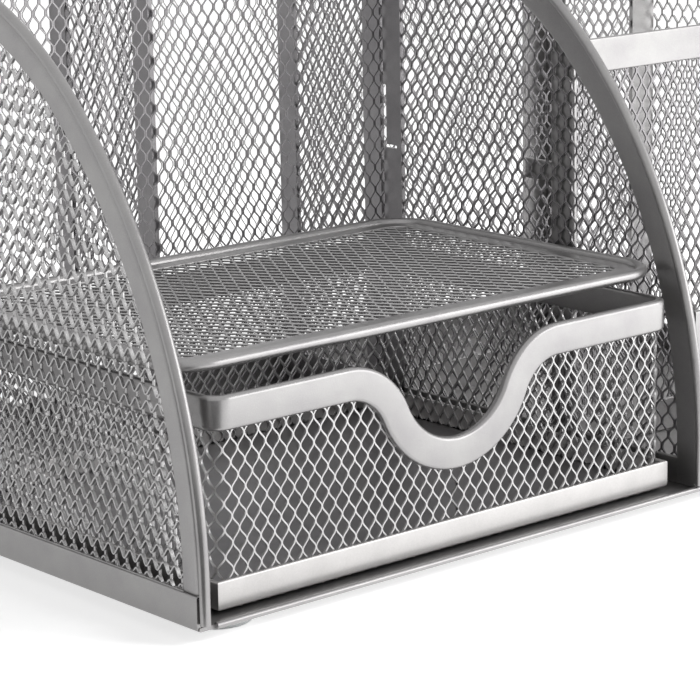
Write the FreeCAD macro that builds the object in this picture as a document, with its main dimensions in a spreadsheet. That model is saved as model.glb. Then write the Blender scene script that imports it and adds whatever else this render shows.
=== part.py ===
# Desk organizer in steel mesh with one sliding drawer.
#
# Built the way the sheet-metal original is built: a folded base tray carries curved side
# panels, a middle panel and straight walls, each a flat steel frame round a sheet of mesh.
# A shelf with a rolled rim spans the drawer bay, and the drawer is a folded pan, a mesh
# wall and a flat rim band that dips into a half-moon finger notch.
#
# Millimetres.  +X to the right, +Y to the back, +Z up.  The origin is on the table under
# the middle of the organizer.  "Sizes" holds the driving dimensions, "Places" the levels
# and positions that follow from them.
import FreeCAD, Part
import math
import os
import Sketcher
from FreeCAD import Vector

SIZES = [
    ("overall_width", 228.0, "across the base flanges"),
    ("overall_depth", 142.0, "panels' front edge to rear flange"),
    ("foot_height", 2.5, "table to underside of the tray"),
    ("foot_radius", 7.2, "soft round foot"),
    ("foot_inset", 12.2, "foot centre from the tray's edges"),
    ("base_sheet", 0.8, "tray sheet"),
    ("base_flange", 6.8, "height of the tray's side and rear flanges"),
    ("lip_height", 1.3, "height of the rolled front lip"),
    ("lip_depth", 1.3, "thickness of the rolled front lip"),
    ("lip_setback", 1.0, "lip's front behind the panels' front edge"),
    ("lip_end", 1.8, "lip's end to the panels' beads"),
    ("corner_setback", 1.0, "tray's cut front corners behind the lip's front"),
    ("panel_height", 118.2, "tray floor to the top of the panels"),
    ("straight_rise", 2.0, "upright start of the panels' front edge above the flange"),
    ("level_top", 9.0, "level stretch of the panels' top in front of the inner wall"),
    ("rear_corner", 6.0, "radius of the panels' top rear corner"),
    ("frame_sheet", 1.2, "folded thickness of a panel frame"),
    ("strip_width", 7.6, "width of a frame's edge strip"),
    ("mesh_sheet", 0.6, "thickness of the mesh"),
    ("net_pitch", 26.0, "width of a diamond of the coarse net, with its strand"),
    ("net_rise", 51.5, "height of a diamond of the coarse net, with its strand"),
    ("net_strand", 3.2, "width of the coarse net's strands"),
    ("net_rim", 1.2, "closed rim round the coarse net"),
    ("bead_radius", 1.05, "rolled bead along a panel's edge"),
    ("shelf_bead", 1.2, "rolled bead round the shelf"),
    ("bead_gap", 0.3, "bead's ends above the tray's floor, lip or flange"),
    ("join_gap", 0.1, "play where a wall ends at a bead"),
    ("hem_fold", 0.45, "rounding of a wall's folded top edge"),
    ("fold_radius", 0.7, "outside radius of the folds of the tray and the pan"),
    ("bay_width", 132.3, "drawer bay between left and middle panel"),
    ("rear_cell_depth", 37.5, "front to back inside the rear compartments"),
    ("front_cell_depth", 39.7, "panel front to the cross wall"),
    ("cross_wall_height", 92.7, "cross wall above the tray floor"),
    ("front_wall_height", 38.2, "low front wall above the tray floor"),
    ("front_wall_setback", 3.8, "low front wall behind the panels' front"),
    ("post_width", 6.0, "narrow upright strips and flanges"),
    ("tab_length", 8.0, "locking tab beyond its flange"),
    ("tab_height", 4.5, "locking tab, up and down"),
    ("tab_level", 61.0, "locking tabs above the tray floor"),
    ("slot_gap", 0.9, "width of the slot beside the middle panel's post"),
    ("slot_rise", 15.0, "height of that slot above the slit across the post"),
    ("slit_depth", 4.5, "slit across the post, from the inner wall"),
    ("shelf_level", 46.7, "shelf bead's centre above the tray floor"),
    ("shelf_setback", 9.8, "shelf's front behind the panels' front"),
    ("shelf_clearance", 0.3, "shelf to panels and post"),
    ("shelf_corner", 11.0, "radius of the shelf's corners"),
    ("shelf_strip", 4.7, "flat strip inside the shelf's bead"),
    ("shelf_sheet", 0.8, "thickness of the shelf's strip"),
    ("drawer_side_gap", 4.7, "drawer rim to each panel"),
    ("drawer_setback", 4.5, "drawer front behind the panels' front"),
    ("drawer_rear_gap", 0.5, "closed drawer to the inner wall"),
    ("drawer_lift", 0.8, "underside of the pan above the tray floor"),
    ("drawer_height", 41.2, "underside of the pan to the top of the rim"),
    ("drawer_corner", 4.4, "corner radius of the rim"),
    ("rim_height", 6.7, "width of the rim band"),
    ("rim_overhang", 1.4, "rim's outside beyond the mesh"),
    ("pan_sheet", 0.8, "pan sheet"),
    ("pan_flange", 5.8, "height of the pan's upright edge"),
    ("notch_half_width", 28.1, "notch centre to where the band leaves the straight"),
    ("notch_depth", 18.5, "dip of the band's top edge"),
    ("notch_bowl", 14.1, "radius of the notch's bottom"),
    ("runner_height", 0.5, "drawer runner"),
    ("runner_width", 6.0, "drawer runner"),
    ("runner_inset", 9.0, "runner's outer side from the drawer's side"),
    ("runner_setback", 8.0, "runner's front behind the drawer's front"),
]

# Positions: every formula starts from the sizes above.
PLACES = [
    ("half_width", "=Sizes.overall_width / 2"),
    ("panel_front", "=-Sizes.overall_depth / 2"),
    ("lip_front", "=panel_front + Sizes.lip_setback"),
    ("base_rear", "=Sizes.overall_depth / 2"),
    ("floor_top", "=Sizes.foot_height + Sizes.base_sheet"),
    ("flange_top", "=Sizes.foot_height + Sizes.base_flange"),
    ("side_outer", "=half_width - Sizes.base_sheet"),
    ("side_inner", "=side_outer - Sizes.frame_sheet"),
    ("wall_end", "=half_width - 2 * Sizes.bead_radius - Sizes.join_gap"),
    ("panel_rear", "=base_rear - Sizes.base_sheet"),
    ("panel_top", "=floor_top + Sizes.panel_height"),
    ("curve_start", "=flange_top + Sizes.straight_rise"),
    ("bead_rear", "=panel_front + 2 * Sizes.bead_radius + Sizes.join_gap"),
    ("back_front", "=panel_rear - Sizes.frame_sheet"),
    ("inner_rear", "=back_front - Sizes.rear_cell_depth"),
    ("inner_front", "=inner_rear - Sizes.frame_sheet"),
    # the quarter curve of the panels: two arcs meet at 45 degrees, so with c = sqrt(1/2)
    # run = R1 (1 - c) + R2 c and rise = R1 c + R2 (1 - c)
    ("curve_end", "=inner_front - Sizes.level_top"),
    ("curve_run", "=curve_end - panel_front"),
    ("curve_rise", "=panel_top - curve_start"),
    ("half_turn", "=sqrt(0.5)"),
    ("lower_radius",
     "=(curve_rise * half_turn - curve_run * (1 - half_turn)) / (2 * half_turn - 1)"),
    ("upper_radius",
     "=(curve_run * half_turn - curve_rise * (1 - half_turn)) / (2 * half_turn - 1)"),
    ("middle_left", "=Sizes.bay_width - side_inner"),
    ("middle_right", "=middle_left + Sizes.frame_sheet"),
    ("bay_centre", "=(middle_left - side_inner) / 2"),
    ("cross_front", "=panel_front + Sizes.front_cell_depth"),
    ("cross_rear", "=cross_front + Sizes.frame_sheet"),
    ("cross_top", "=floor_top + Sizes.cross_wall_height"),
    # a diamond's side lies pitch * rise / 2 sqrt(pitch^2 + rise^2) from its centre
    ("net_share", "=1 - Sizes.net_strand * sqrt(Sizes.net_pitch ^ 2 + Sizes.net_rise ^ 2)"
                  " / (Sizes.net_pitch * Sizes.net_rise)"),
    ("half_opening", "=Sizes.net_pitch / 2 * net_share"),
    ("half_rise", "=Sizes.net_rise / 2 * net_share"),
    ("slit_z", "=floor_top + Sizes.tab_level + Sizes.tab_height / 2"),
    ("low_front", "=panel_front + Sizes.front_wall_setback"),
    ("low_top", "=floor_top + Sizes.front_wall_height"),
    ("low_left", "=(middle_left + middle_right) / 2 + Sizes.bead_radius + Sizes.join_gap"),
    ("shelf_left", "=Sizes.shelf_clearance - side_inner"),
    ("shelf_right", "=middle_left - Sizes.shelf_clearance"),
    ("shelf_front", "=panel_front + Sizes.shelf_setback"),
    ("shelf_rear", "=inner_front - Sizes.post_width - Sizes.shelf_clearance"),
    ("shelf_z", "=floor_top + Sizes.shelf_level"),
    ("shelf_inset", "=2 * Sizes.shelf_bead + Sizes.shelf_strip"),
    ("rim_left", "=Sizes.drawer_side_gap - side_inner"),
    ("rim_right", "=middle_left - Sizes.drawer_side_gap"),
    ("rim_front", "=panel_front + Sizes.drawer_setback"),
    ("rim_rear", "=inner_front - Sizes.drawer_rear_gap"),
    ("pan_bottom", "=floor_top + Sizes.drawer_lift"),
    ("rim_top", "=pan_bottom + Sizes.drawer_height"),
    ("rim_low", "=rim_top - Sizes.rim_height"),
    ("pan_inset", "=Sizes.rim_overhang - Sizes.pan_sheet"),
    ("mesh_in", "=Sizes.rim_overhang + Sizes.mesh_sheet"),
    # bowl and shoulder arcs of the notch: (R1 + R2) = (w^2 + d^2) / 2d
    ("shoulder_radius", "=(Sizes.notch_half_width ^ 2 + Sizes.notch_depth ^ 2)"
                        " / (2 * Sizes.notch_depth) - Sizes.notch_bowl"),
    ("notch_z", "=rim_top - Sizes.notch_depth + Sizes.notch_bowl"),
]

doc = FreeCAD.newDocument("DeskOrganizer")


def fill_sheet(name, rows):
    """Put the rows (alias, content, note) into a new spreadsheet."""
    sheet = doc.addObject("Spreadsheet::Sheet", name)
    for number, row in enumerate(rows, 1):
        sheet.set("A%d" % number, row[0])
        sheet.setAlias("B%d" % number, row[0])
    for number, row in enumerate(rows, 1):
        sheet.set("B%d" % number, str(row[1]))
        if len(row) > 2:
            sheet.set("C%d" % number, row[2])
    return sheet


sizes = fill_sheet("Sizes", SIZES)
places = fill_sheet("Places", PLACES)
doc.recompute()
SIZE_NAMES = [row[0] for row in SIZES]


def num(name):
    """Present value of a size or place, for the first guess of a curved sketch."""
    return float(sizes.get(name) if name in SIZE_NAMES else places.get(name))


def ref(formula):
    """Spell out which sheet each name in the formula lives in."""
    words = []
    for word in formula.split():
        core = word.strip("()")
        if core in SIZE_NAMES:
            word = word.replace(core, "Sizes." + core)
        elif core and core[0].isalpha():
            word = word.replace(core, "Places." + core)
        words.append(word)
    return " ".join(words)


parts = []


def new_body(label):
    """Empty PartDesign body that becomes one named piece."""
    body = doc.addObject("PartDesign::Body", label)
    body.Label = label
    parts.append(body)
    return body


def new_sketch(body, name, plane, level="0"):
    """Sketch on one of the body's origin planes, lifted to a level along +X, +Y or +Z."""
    sketch = body.newObject("Sketcher::SketchObject", name)
    for feature in body.Origin.OriginFeatures:
        if feature.Role == plane:
            sketch.AttachmentSupport = [(feature, "")]
    sketch.MapMode = "FlatFace"
    sign = "-1" if plane == "XZ_Plane" else "1"      # the XZ plane's normal is -Y
    sketch.setExpression("AttachmentOffset.Base.z", "%s * (%s)" % (sign, ref(level)))
    return sketch


def dimension(sketch, kind, spot, formula):
    """Driving dimension bound to the sheets; spot is (edge, point) or (edge,)."""
    if kind == "Radius":
        constraint = Sketcher.Constraint("Radius", spot[0], sketch.Geometry[spot[0]].Radius)
    else:
        point = sketch.getPoint(spot[0], spot[1])
        now = point.x if kind == "DistanceX" else point.y
        constraint = Sketcher.Constraint(kind, -1, 1, spot[0], spot[1], now)
    number = sketch.addConstraint(constraint)
    name = "d%d" % number
    sketch.renameConstraint(number, name)
    sketch.setExpression("Constraints." + name, ref(formula))


def chain(sketch, points, arcs=None):
    """Closed outline of lines and tangent arcs through the points, in order.

    arcs maps the number of a run to (centre, formula of its radius).  Returns, for each
    run, (edge, end at the run's first point, end at its last point).
    """
    arcs = arcs or {}
    count = len(points)
    runs = []
    for i in range(count):
        a = points[i]
        b = points[(i + 1) % len(points)]
        if i in arcs:
            centre = Vector(arcs[i][0][0], arcs[i][0][1], 0)
            start = math.atan2(a[1] - centre.y, a[0] - centre.x)
            end = math.atan2(b[1] - centre.y, b[0] - centre.x)
            turn = (end - start) % (2 * math.pi)
            radius = math.hypot(a[0] - centre.x, a[1] - centre.y)
            circle = Part.Circle(centre, Vector(0, 0, 1), radius)
            if turn < math.pi:
                edge = sketch.addGeometry(Part.ArcOfCircle(circle, start, start + turn))
                runs.append((edge, 1, 2))
            else:
                edge = sketch.addGeometry(
                    Part.ArcOfCircle(circle, end, end + 2 * math.pi - turn))
                runs.append((edge, 2, 1))
        else:
            line = Part.LineSegment(Vector(a[0], a[1], 0), Vector(b[0], b[1], 0))
            edge = sketch.addGeometry(line)
            runs.append((edge, 1, 2))
    for i in range(count):
        j = (i + 1) % count
        kind = "Tangent" if i in arcs or j in arcs else "Coincident"
        sketch.addConstraint(Sketcher.Constraint(
            kind, runs[i][0], runs[i][2], runs[j][0], runs[j][1]))
    for i in range(count):
        if i in arcs:
            dimension(sketch, "Radius", (runs[i][0],), arcs[i][1])
        else:
            a = points[i]
            b = points[(i + 1) % len(points)]
            flat = abs(a[1] - b[1]) < abs(a[0] - b[0])
            sketch.addConstraint(Sketcher.Constraint(
                "Horizontal" if flat else "Vertical", runs[i][0]))
    return runs


def rectangle(sketch, left, right, low, high):
    """Rectangle between four formulas."""
    runs = chain(sketch, [(0, 0), (10, 0), (10, 10), (0, 10)])
    dimension(sketch, "DistanceY", (runs[0][0], 1), low)
    dimension(sketch, "DistanceX", (runs[1][0], 1), right)
    dimension(sketch, "DistanceY", (runs[2][0], 1), high)
    dimension(sketch, "DistanceX", (runs[3][0], 1), left)


def round_rectangle(sketch, left, right, low, high, radius, inset, by):
    """Rounded rectangle; left..radius are place names, inset is a formula, by its value."""
    x0, x1, y0, y1 = num(left) + by, num(right) - by, num(low) + by, num(high) - by
    r = num(radius) - by
    points = [(x0 + r, y0), (x1 - r, y0), (x1, y0 + r), (x1, y1 - r),
              (x1 - r, y1), (x0 + r, y1), (x0, y1 - r), (x0, y0 + r)]
    size = "%s - ( %s )" % (radius, inset)
    arcs = {1: ((x1 - r, y0 + r), size), 3: ((x1 - r, y1 - r), size),
            5: ((x0 + r, y1 - r), size), 7: ((x0 + r, y0 + r), size)}
    runs = chain(sketch, points, arcs)
    dimension(sketch, "DistanceY", (runs[0][0], 1), "%s + ( %s )" % (low, inset))
    dimension(sketch, "DistanceX", (runs[2][0], 1), "%s - ( %s )" % (right, inset))
    dimension(sketch, "DistanceY", (runs[4][0], 1), "%s - ( %s )" % (high, inset))
    dimension(sketch, "DistanceX", (runs[6][0], 1), "%s + ( %s )" % (left, inset))


def pad(body, sketch, length, backwards=False):
    """Pad a sketch; backwards sends it against the sketch's normal."""
    feature = body.newObject("PartDesign::Pad", "Pad")
    feature.Profile = sketch
    feature.Reversed = backwards
    feature.setExpression("Length", ref(length))
    return feature


def pocket(body, sketch, length):
    """Pocket a sketch against its normal."""
    feature = body.newObject("PartDesign::Pocket", "Pocket")
    feature.Profile = sketch
    feature.setExpression("Length", ref(length))
    return feature


X, Y, Z = Vector(1, 0, 0), Vector(0, 1, 0), Vector(0, 0, 1)


def near(a, b):
    return abs(a - b) < 1e-4


def edges_where(shape, test):
    """Names of the straight edges whose middle point passes the test."""
    names = []
    for number, edge in enumerate(shape.Edges, 1):
        middle = edge.valueAt((edge.FirstParameter + edge.LastParameter) / 2)
        if edge.Curve.TypeId == "Part::GeomLine" and test(edge, middle):
            names.append("Edge%d" % number)
    return names


def along(edge, axis):
    """True where a straight edge runs along the axis."""
    a, b = edge.Vertexes[0].Point, edge.Vertexes[-1].Point
    return abs((b - a).normalize().dot(axis)) > 0.999


def fillet(body, base, names, radius):
    """Round the named edges of a feature."""
    feature = body.newObject("PartDesign::Fillet", "Fillet")
    feature.Base = (base, names)
    feature.setExpression("Radius", ref(radius))
    return feature


# A bead's section is a round of twelve flats: its corners, in bead radii from the centre.
T15 = math.tan(math.pi / 12)
T60 = math.sqrt(3) - 1
BEAD_CORNERS = [(1, -T15), (1, T15), (T60, T60), (T15, 1), (-T15, 1), (-T60, T60),
                (-1, T15), (-1, -T15), (-T60, -T60), (-T15, -1), (T15, -1), (T60, -T60)]


def bead_section(body, plane, level, across, along, size="bead_radius"):
    """Section of the rolled bead, its centre at the two formulas on the plane."""
    sketch = new_sketch(body, "BeadSection", plane, level)
    radius = num(size)
    corners = [Vector(radius * x, radius * y, 0) for x, y in BEAD_CORNERS]
    edges = [sketch.addGeometry(Part.LineSegment(a, b))
             for a, b in zip(corners, corners[1:] + corners[:1])]
    for i, edge in enumerate(edges):
        sketch.addConstraint(Sketcher.Constraint("Coincident", edges[i - 1], 2, edge, 1))
        for kind, centre, share in (("DistanceX", across, BEAD_CORNERS[i][0]),
                                    ("DistanceY", along, BEAD_CORNERS[i][1])):
            dimension(sketch, kind, (edge, 1), "( %s ) %s %s * %.6f" % (
                centre, "-" if share < 0 else "+", size, abs(share)))
    return sketch


def bead_turn(sketch, axis, place, angle, backwards):
    """Roll a bead section round a Horizontal or Vertical axis that lies at place."""
    body = sketch.getParentGeoFeatureGroup()
    far = Vector(10, 0, 0) if axis == "Horizontal" else Vector(0, 10, 0)
    line = sketch.addGeometry(Part.LineSegment(Vector(0, 0, 0), far), True)
    sketch.addConstraint(Sketcher.Constraint(axis, line))
    across, along = (("0", place) if axis == "Horizontal" else (place, "0"))
    dimension(sketch, "DistanceX", (line, 1), across)
    dimension(sketch, "DistanceY", (line, 1), along)
    feature = body.newObject("PartDesign::Revolution", "BeadTurn")
    feature.Profile = sketch
    feature.ReferenceAxis = (sketch, ["Axis0"])
    feature.Angle = angle
    feature.Reversed = backwards
    return feature


def panel_bead(body, x, foot, rear, rear_foot):
    """Rolled bead along the free edge of a curved panel whose middle plane is at x.

    It rises from foot, and runs down the rear edge to rear_foot where the panel has one.
    """
    top = "panel_top - bead_radius"
    start = bead_section(body, "XY_Plane", "curve_start", x, "panel_front + bead_radius")
    pad(body, start, "curve_start - ( %s )" % foot, True)
    bead_turn(start, "Horizontal", "panel_front + lower_radius", 45.0, True)
    level = bead_section(body, "XZ_Plane", "curve_end", x, top)
    bead_turn(level, "Horizontal", "panel_top - upper_radius", 45.0, False)
    if not rear_foot:
        pad(body, level, "%s - curve_end" % rear, True)
        return
    pad(body, level, "%s - rear_corner - curve_end" % rear, True)
    down = bead_section(body, "XY_Plane", "panel_top - rear_corner", x,
                        "%s - bead_radius" % rear)
    pad(body, down, "panel_top - rear_corner - ( %s )" % rear_foot, True)
    bead_turn(down, "Horizontal", "%s - rear_corner" % rear, 90.0, False)


def open_net(net, plane, left, right, low, high, outlines, backwards=False):
    """Cut a net of diamonds through a padded sheet, then close a narrow rim round it.

    The net stands for the expanded mesh, with far larger diamonds.  Its sketch holds one
    diamond at the window's corner and one half a pitch up and along, and a pattern repeats
    both over the window.  outlines draws the window, plain and inset by net_rim.
    """
    sheet = net.Tip
    sketch = new_sketch(net, "Diamonds", plane, sheet.Profile[0].Label2)
    for across, up in ((left, low),
                       ("%s + net_pitch / 2" % left, "%s + net_rise / 2" % low)):
        runs = []
        corners = ((0, -1), (1, 0), (0, 1), (-1, 0))
        for i, (a, b) in enumerate(corners):
            c, d = corners[(i + 1) % 4]
            runs.append(sketch.addGeometry(Part.LineSegment(
                Vector(10 * a, 15 * b, 0), Vector(10 * c, 15 * d, 0))))
        for i, (a, b) in enumerate(corners):
            sketch.addConstraint(Sketcher.Constraint("Coincident", runs[i - 1], 2, runs[i], 1))
            dimension(sketch, "DistanceX", (runs[i], 1),
                      "%s + ( %d ) * half_opening" % (across, a))
            dimension(sketch, "DistanceY", (runs[i], 1), "%s + ( %d ) * half_rise" % (up, b))
    cut = net.newObject("PartDesign::Pocket", "Openings")
    cut.Profile = sketch
    cut.Reversed = not backwards
    cut.setExpression("Length", ref("mesh_sheet"))
    net_pattern = net.newObject("PartDesign::LinearPattern", "Net")
    net_pattern.Originals = [cut]
    net_pattern.Direction = (sketch, ["H_Axis"])
    net_pattern.Direction2 = (sketch, ["V_Axis"])
    for number, start, stop, step in (("", left, right, "net_pitch"),
                                      ("2", low, high, "net_rise")):
        setattr(net_pattern, "Mode" + number, "Spacing")
        net_pattern.setExpression("Offset" + number, ref(step))
        net_pattern.setExpression("Occurrences" + number, "trunc((%s - (%s)) / %s) + 2" % (
            ref(stop), ref(start), ref(step)))
    net.Tip = net_pattern
    rim = new_sketch(net, "Rim", plane, sheet.Profile[0].Label2)
    outlines(rim)
    pad(net, rim, "mesh_sheet", backwards)


def panel_outline(sketch, inset, by, rear, rear_inset, foot, corner=False):
    """Outline of a curved panel, seen from the side: sketch x is Y, sketch y is Z.

    Up the front edge, round two tangent arcs into the level top, then down the rear.
    inset (a formula, with its value by) moves the edge inwards; foot is the lower end.
    """
    r1, r2 = num("lower_radius"), num("upper_radius")
    front, top, start = num("panel_front"), num("panel_top"), num("curve_start")
    c1 = (front + r1, start)
    c2 = (num("curve_end"), top - r2)
    c = num("half_turn")
    join = (c1[0] - (r1 - by) * c, c1[1] + (r1 - by) * c)
    back = num(rear) - (by if corner else 0)
    low = start - num("straight_rise") / 2
    points = [(front + by, low), (front + by, start), join, (c2[0], top - by)]
    arcs = {1: (c1, "lower_radius - ( %s )" % inset), 2: (c2, "upper_radius - ( %s )" % inset)}
    if corner:
        r3 = num("rear_corner") - by
        points += [(back - r3, top - by), (back, top - by - r3)]
        arcs[4] = ((back - r3, top - by - r3), "rear_corner - ( %s )" % inset)
    else:
        points += [(back, top - by)]
    points += [(back, low)]
    runs = chain(sketch, points, arcs)
    side = runs[5] if corner else runs[4]
    dimension(sketch, "DistanceX", (runs[0][0], 1), "panel_front + ( %s )" % inset)
    dimension(sketch, "DistanceY", (runs[0][0], 1), foot)
    dimension(sketch, "DistanceY", (runs[0][0], 2), "curve_start")
    dimension(sketch, "DistanceY", (runs[3][0], 1), "panel_top - ( %s )" % inset)
    dimension(sketch, "DistanceX", (side[0], 2), "%s - ( %s )" % (rear, rear_inset))


def curved_panel(name, left, rear, bead_x, foot, rear_foot=None):
    """Frame and mesh of a panel with the quarter-curve front, its sheet from left.

    A side panel has a rounded rear corner and a bead down its rear edge to rear_foot.  The
    middle panel ends at a wall with a narrow post.
    """
    corner = rear_foot is not None
    body = new_body(name + "_frame")
    sketch = new_sketch(body, "Frame", "YZ_Plane", left)
    edge_in = "bead_radius"
    e, w = num("bead_radius"), num("strip_width")
    panel_outline(sketch, edge_in, e, rear, edge_in if corner else "0", "floor_top", corner)
    window_rear = "strip_width" if corner else "post_width"
    panel_outline(sketch, "strip_width", w, rear, window_rear, "flange_top")
    pad(body, sketch, "frame_sheet")
    panel_bead(body, bead_x, foot, rear, rear_foot)

    net = new_body(name + "_mesh")
    level = "%s + ( frame_sheet - mesh_sheet ) / 2" % left
    sketch = new_sketch(net, "Mesh", "YZ_Plane", level)
    panel_outline(sketch, "strip_width", w, rear, window_rear, "flange_top")
    sketch.Label2 = level
    pad(net, sketch, "mesh_sheet")

    def outlines(rim):
        panel_outline(rim, "strip_width", w, rear, window_rear, "flange_top")
        panel_outline(rim, "strip_width + net_rim", w + num("net_rim"), rear,
                      window_rear + " + net_rim", "flange_top + net_rim")
    open_net(net, "YZ_Plane", "panel_front + strip_width", "%s - %s" % (rear, window_rear),
             "flange_top", "panel_top - strip_width", outlines)
    return body


def round_hem(body, axis, top):
    """Round the two long top edges of a folded wall."""
    doc.recompute()
    level = num(top)
    names = edges_where(body.Tip.Shape, lambda edge, p: along(edge, axis) and near(p.z, level)
                        and edge.Length > num("tab_length"))
    fillet(body, body.Tip, names, "hem_fold")


def flat_wall(name, plane, level, ends, low, high, end_strip="strip_width"):
    """Rectangular wall: a frame of folded strip round a sheet of mesh, its top edge round."""
    backwards = plane == "XZ_Plane"                  # always towards +Y or +X
    window = ("%s + %s" % (ends[0], end_strip), "%s - %s" % (ends[1], end_strip),
              "%s + strip_width" % low, "%s - strip_width" % high)
    body = new_body(name + "_frame")
    sketch = new_sketch(body, "Frame", plane, level)
    rectangle(sketch, ends[0], ends[1], low, high)
    rectangle(sketch, *window)
    pad(body, sketch, "frame_sheet", backwards)
    if name != "cross_wall":
        round_hem(body, X if backwards else Y, high)
    net = new_body(name + "_mesh")
    middle = "%s + ( frame_sheet - mesh_sheet ) / 2" % level
    sketch = new_sketch(net, "Mesh", plane, middle)
    rectangle(sketch, *window)
    sketch.Label2 = middle
    pad(net, sketch, "mesh_sheet", backwards)

    def outlines(rim):
        rectangle(rim, *window)
        rectangle(rim, *["%s %s net_rim" % (side, sign)
                         for side, sign in zip(window, "+-+-")])
    open_net(net, plane, *window, outlines, backwards)
    return body


# ---- base tray: floor, upright flanges on three sides, rolled lip in front ----------
base = new_body("base_tray")
sketch = new_sketch(base, "Outline", "XY_Plane", "foot_height")
rectangle(sketch, "0 - half_width", "half_width", "lip_front", "base_rear")
pad(base, sketch, "base_flange")
sketch = new_sketch(base, "Inside", "XY_Plane", "flange_top")
rectangle(sketch, "0 - side_outer", "side_outer", "lip_front + lip_depth", "panel_rear")
pocket(base, sketch, "base_flange - base_sheet")
sketch = new_sketch(base, "FrontOpening", "XY_Plane", "flange_top")
rectangle(sketch, "0 - side_outer", "side_outer", "lip_front - lip_depth",
          "lip_front + 1.5 * lip_depth")
pocket(base, sketch, "base_flange - lip_height")
# At the two front corners the flange makes room for the side panels' beads, the lip ends
# short of them, and the sheet between is cut back.
for side, x0, x1, lip0, lip1, cut0, cut1 in (
        ("Left", "0 - half_width - base_sheet", "0 - wall_end", "0 - side_outer",
         "lip_end - wall_end", "0 - half_width - base_sheet", "lip_end - wall_end"),
        ("Right", "wall_end", "half_width + base_sheet", "wall_end - lip_end",
         "side_outer", "wall_end - lip_end", "half_width + base_sheet")):
    sketch = new_sketch(base, side + "Relief", "XY_Plane", "flange_top")
    rectangle(sketch, x0, x1, "lip_front - lip_depth", "bead_rear")
    pocket(base, sketch, "base_flange - base_sheet")
    sketch = new_sketch(base, side + "LipEnd", "XY_Plane", "flange_top")
    rectangle(sketch, lip0, lip1, "lip_front - lip_depth", "lip_front + 1.5 * lip_depth")
    pocket(base, sketch, "base_flange - base_sheet")
    sketch = new_sketch(base, side + "Corner", "XY_Plane", "flange_top")
    rectangle(sketch, cut0, cut1, "lip_front - lip_depth", "lip_front + corner_setback")
    pocket(base, sketch, "base_flange + base_sheet")
doc.recompute()
lip_top, tray_low = num("foot_height") + num("lip_height"), num("foot_height")
lip_edges = edges_where(base.Tip.Shape, lambda edge, p: along(edge, X) and (
    near(p.z, lip_top) or (near(p.z, tray_low) and near(p.y, num("lip_front")))))
fillet(base, base.Tip, lip_edges, "lip_depth * 0.35")
doc.recompute()
folds = edges_where(base.Tip.Shape, lambda edge, p: near(p.z, tray_low) and (
    near(abs(p.x), num("half_width")) or near(p.y, num("base_rear"))))
fillet(base, base.Tip, folds, "fold_radius")

# ---- curved side panels and the front half of the middle panel -----------------------
curved_panel("left_panel", "0 - side_outer", "panel_rear", "bead_radius - half_width",
             "floor_top + bead_gap", "flange_top + bead_gap")
curved_panel("right_panel", "side_inner", "panel_rear", "half_width - bead_radius",
             "floor_top + bead_gap", "flange_top + bead_gap")
middle = curved_panel("middle_front", "middle_left", "inner_front",
                      "( middle_left + middle_right ) / 2",
                      "foot_height + lip_height + bead_gap")

# The middle panel's post has a slit from the inner wall, and a slot beside it going up.
sketch = new_sketch(middle, "PostSlot", "YZ_Plane", "middle_right")
runs = chain(sketch, [(20, 50), (40, 50), (40, 80), (30, 80), (30, 60), (20, 60)])
dimension(sketch, "DistanceY", (runs[0][0], 1), "slit_z - slot_gap / 2")
dimension(sketch, "DistanceX", (runs[1][0], 1), "inner_front + slot_gap")
dimension(sketch, "DistanceY", (runs[2][0], 1), "slit_z + slot_rise")
dimension(sketch, "DistanceX", (runs[3][0], 1), "inner_front - slot_gap")
dimension(sketch, "DistanceY", (runs[4][0], 1), "slit_z + slot_gap / 2")
dimension(sketch, "DistanceX", (runs[5][0], 1), "inner_front - slit_depth")
pocket(middle, sketch, "frame_sheet")

# Its foot steps over the tray's lip.
sketch = new_sketch(middle, "LipRelief", "YZ_Plane", "middle_right")
rectangle(sketch, "panel_front - bead_radius", "lip_front + lip_depth + join_gap",
          "foot_height", "foot_height + lip_height + bead_gap")
pocket(middle, sketch, "frame_sheet")

# ---- straight walls --------------------------------------------------------------------
flat_wall("inner_wall", "XZ_Plane", "inner_front", ("0 - wall_end", "wall_end"),
          "floor_top", "panel_top")
flat_wall("back_wall", "XZ_Plane", "back_front", ("0 - wall_end", "wall_end"),
          "floor_top", "panel_top")
flat_wall("middle_rear", "YZ_Plane", "middle_left", ("inner_rear", "back_front"),
          "floor_top", "panel_top", "post_width")
flat_wall("divider", "YZ_Plane", "bay_centre - frame_sheet / 2",
          ("inner_rear", "back_front"), "floor_top", "panel_top", "post_width")
cross = flat_wall("cross_wall", "XZ_Plane", "cross_front",
                             ("middle_right", "side_inner"), "floor_top", "cross_top")
flat_wall("low_front_wall", "XZ_Plane", "low_front", ("low_left", "wall_end"),
          "floor_top", "low_top")

# The cross wall's ends are folded back along the panels, with a locking tab on each.
for side, near_x, far_x in (("Left", "middle_right", "middle_right + frame_sheet"),
                            ("Right", "side_inner - frame_sheet", "side_inner")):
    sketch = new_sketch(cross, side + "Flange", "XY_Plane", "floor_top")
    rectangle(sketch, near_x, far_x, "cross_rear", "cross_rear + post_width")
    pad(cross, sketch, "cross_wall_height")
    sketch = new_sketch(cross, side + "Tab", "XY_Plane", "floor_top + tab_level")
    rectangle(sketch, near_x, far_x, "cross_rear + post_width / 2",
              "cross_rear + post_width + tab_length")
    pad(cross, sketch, "tab_height")
round_hem(cross, X, "cross_top")

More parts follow.
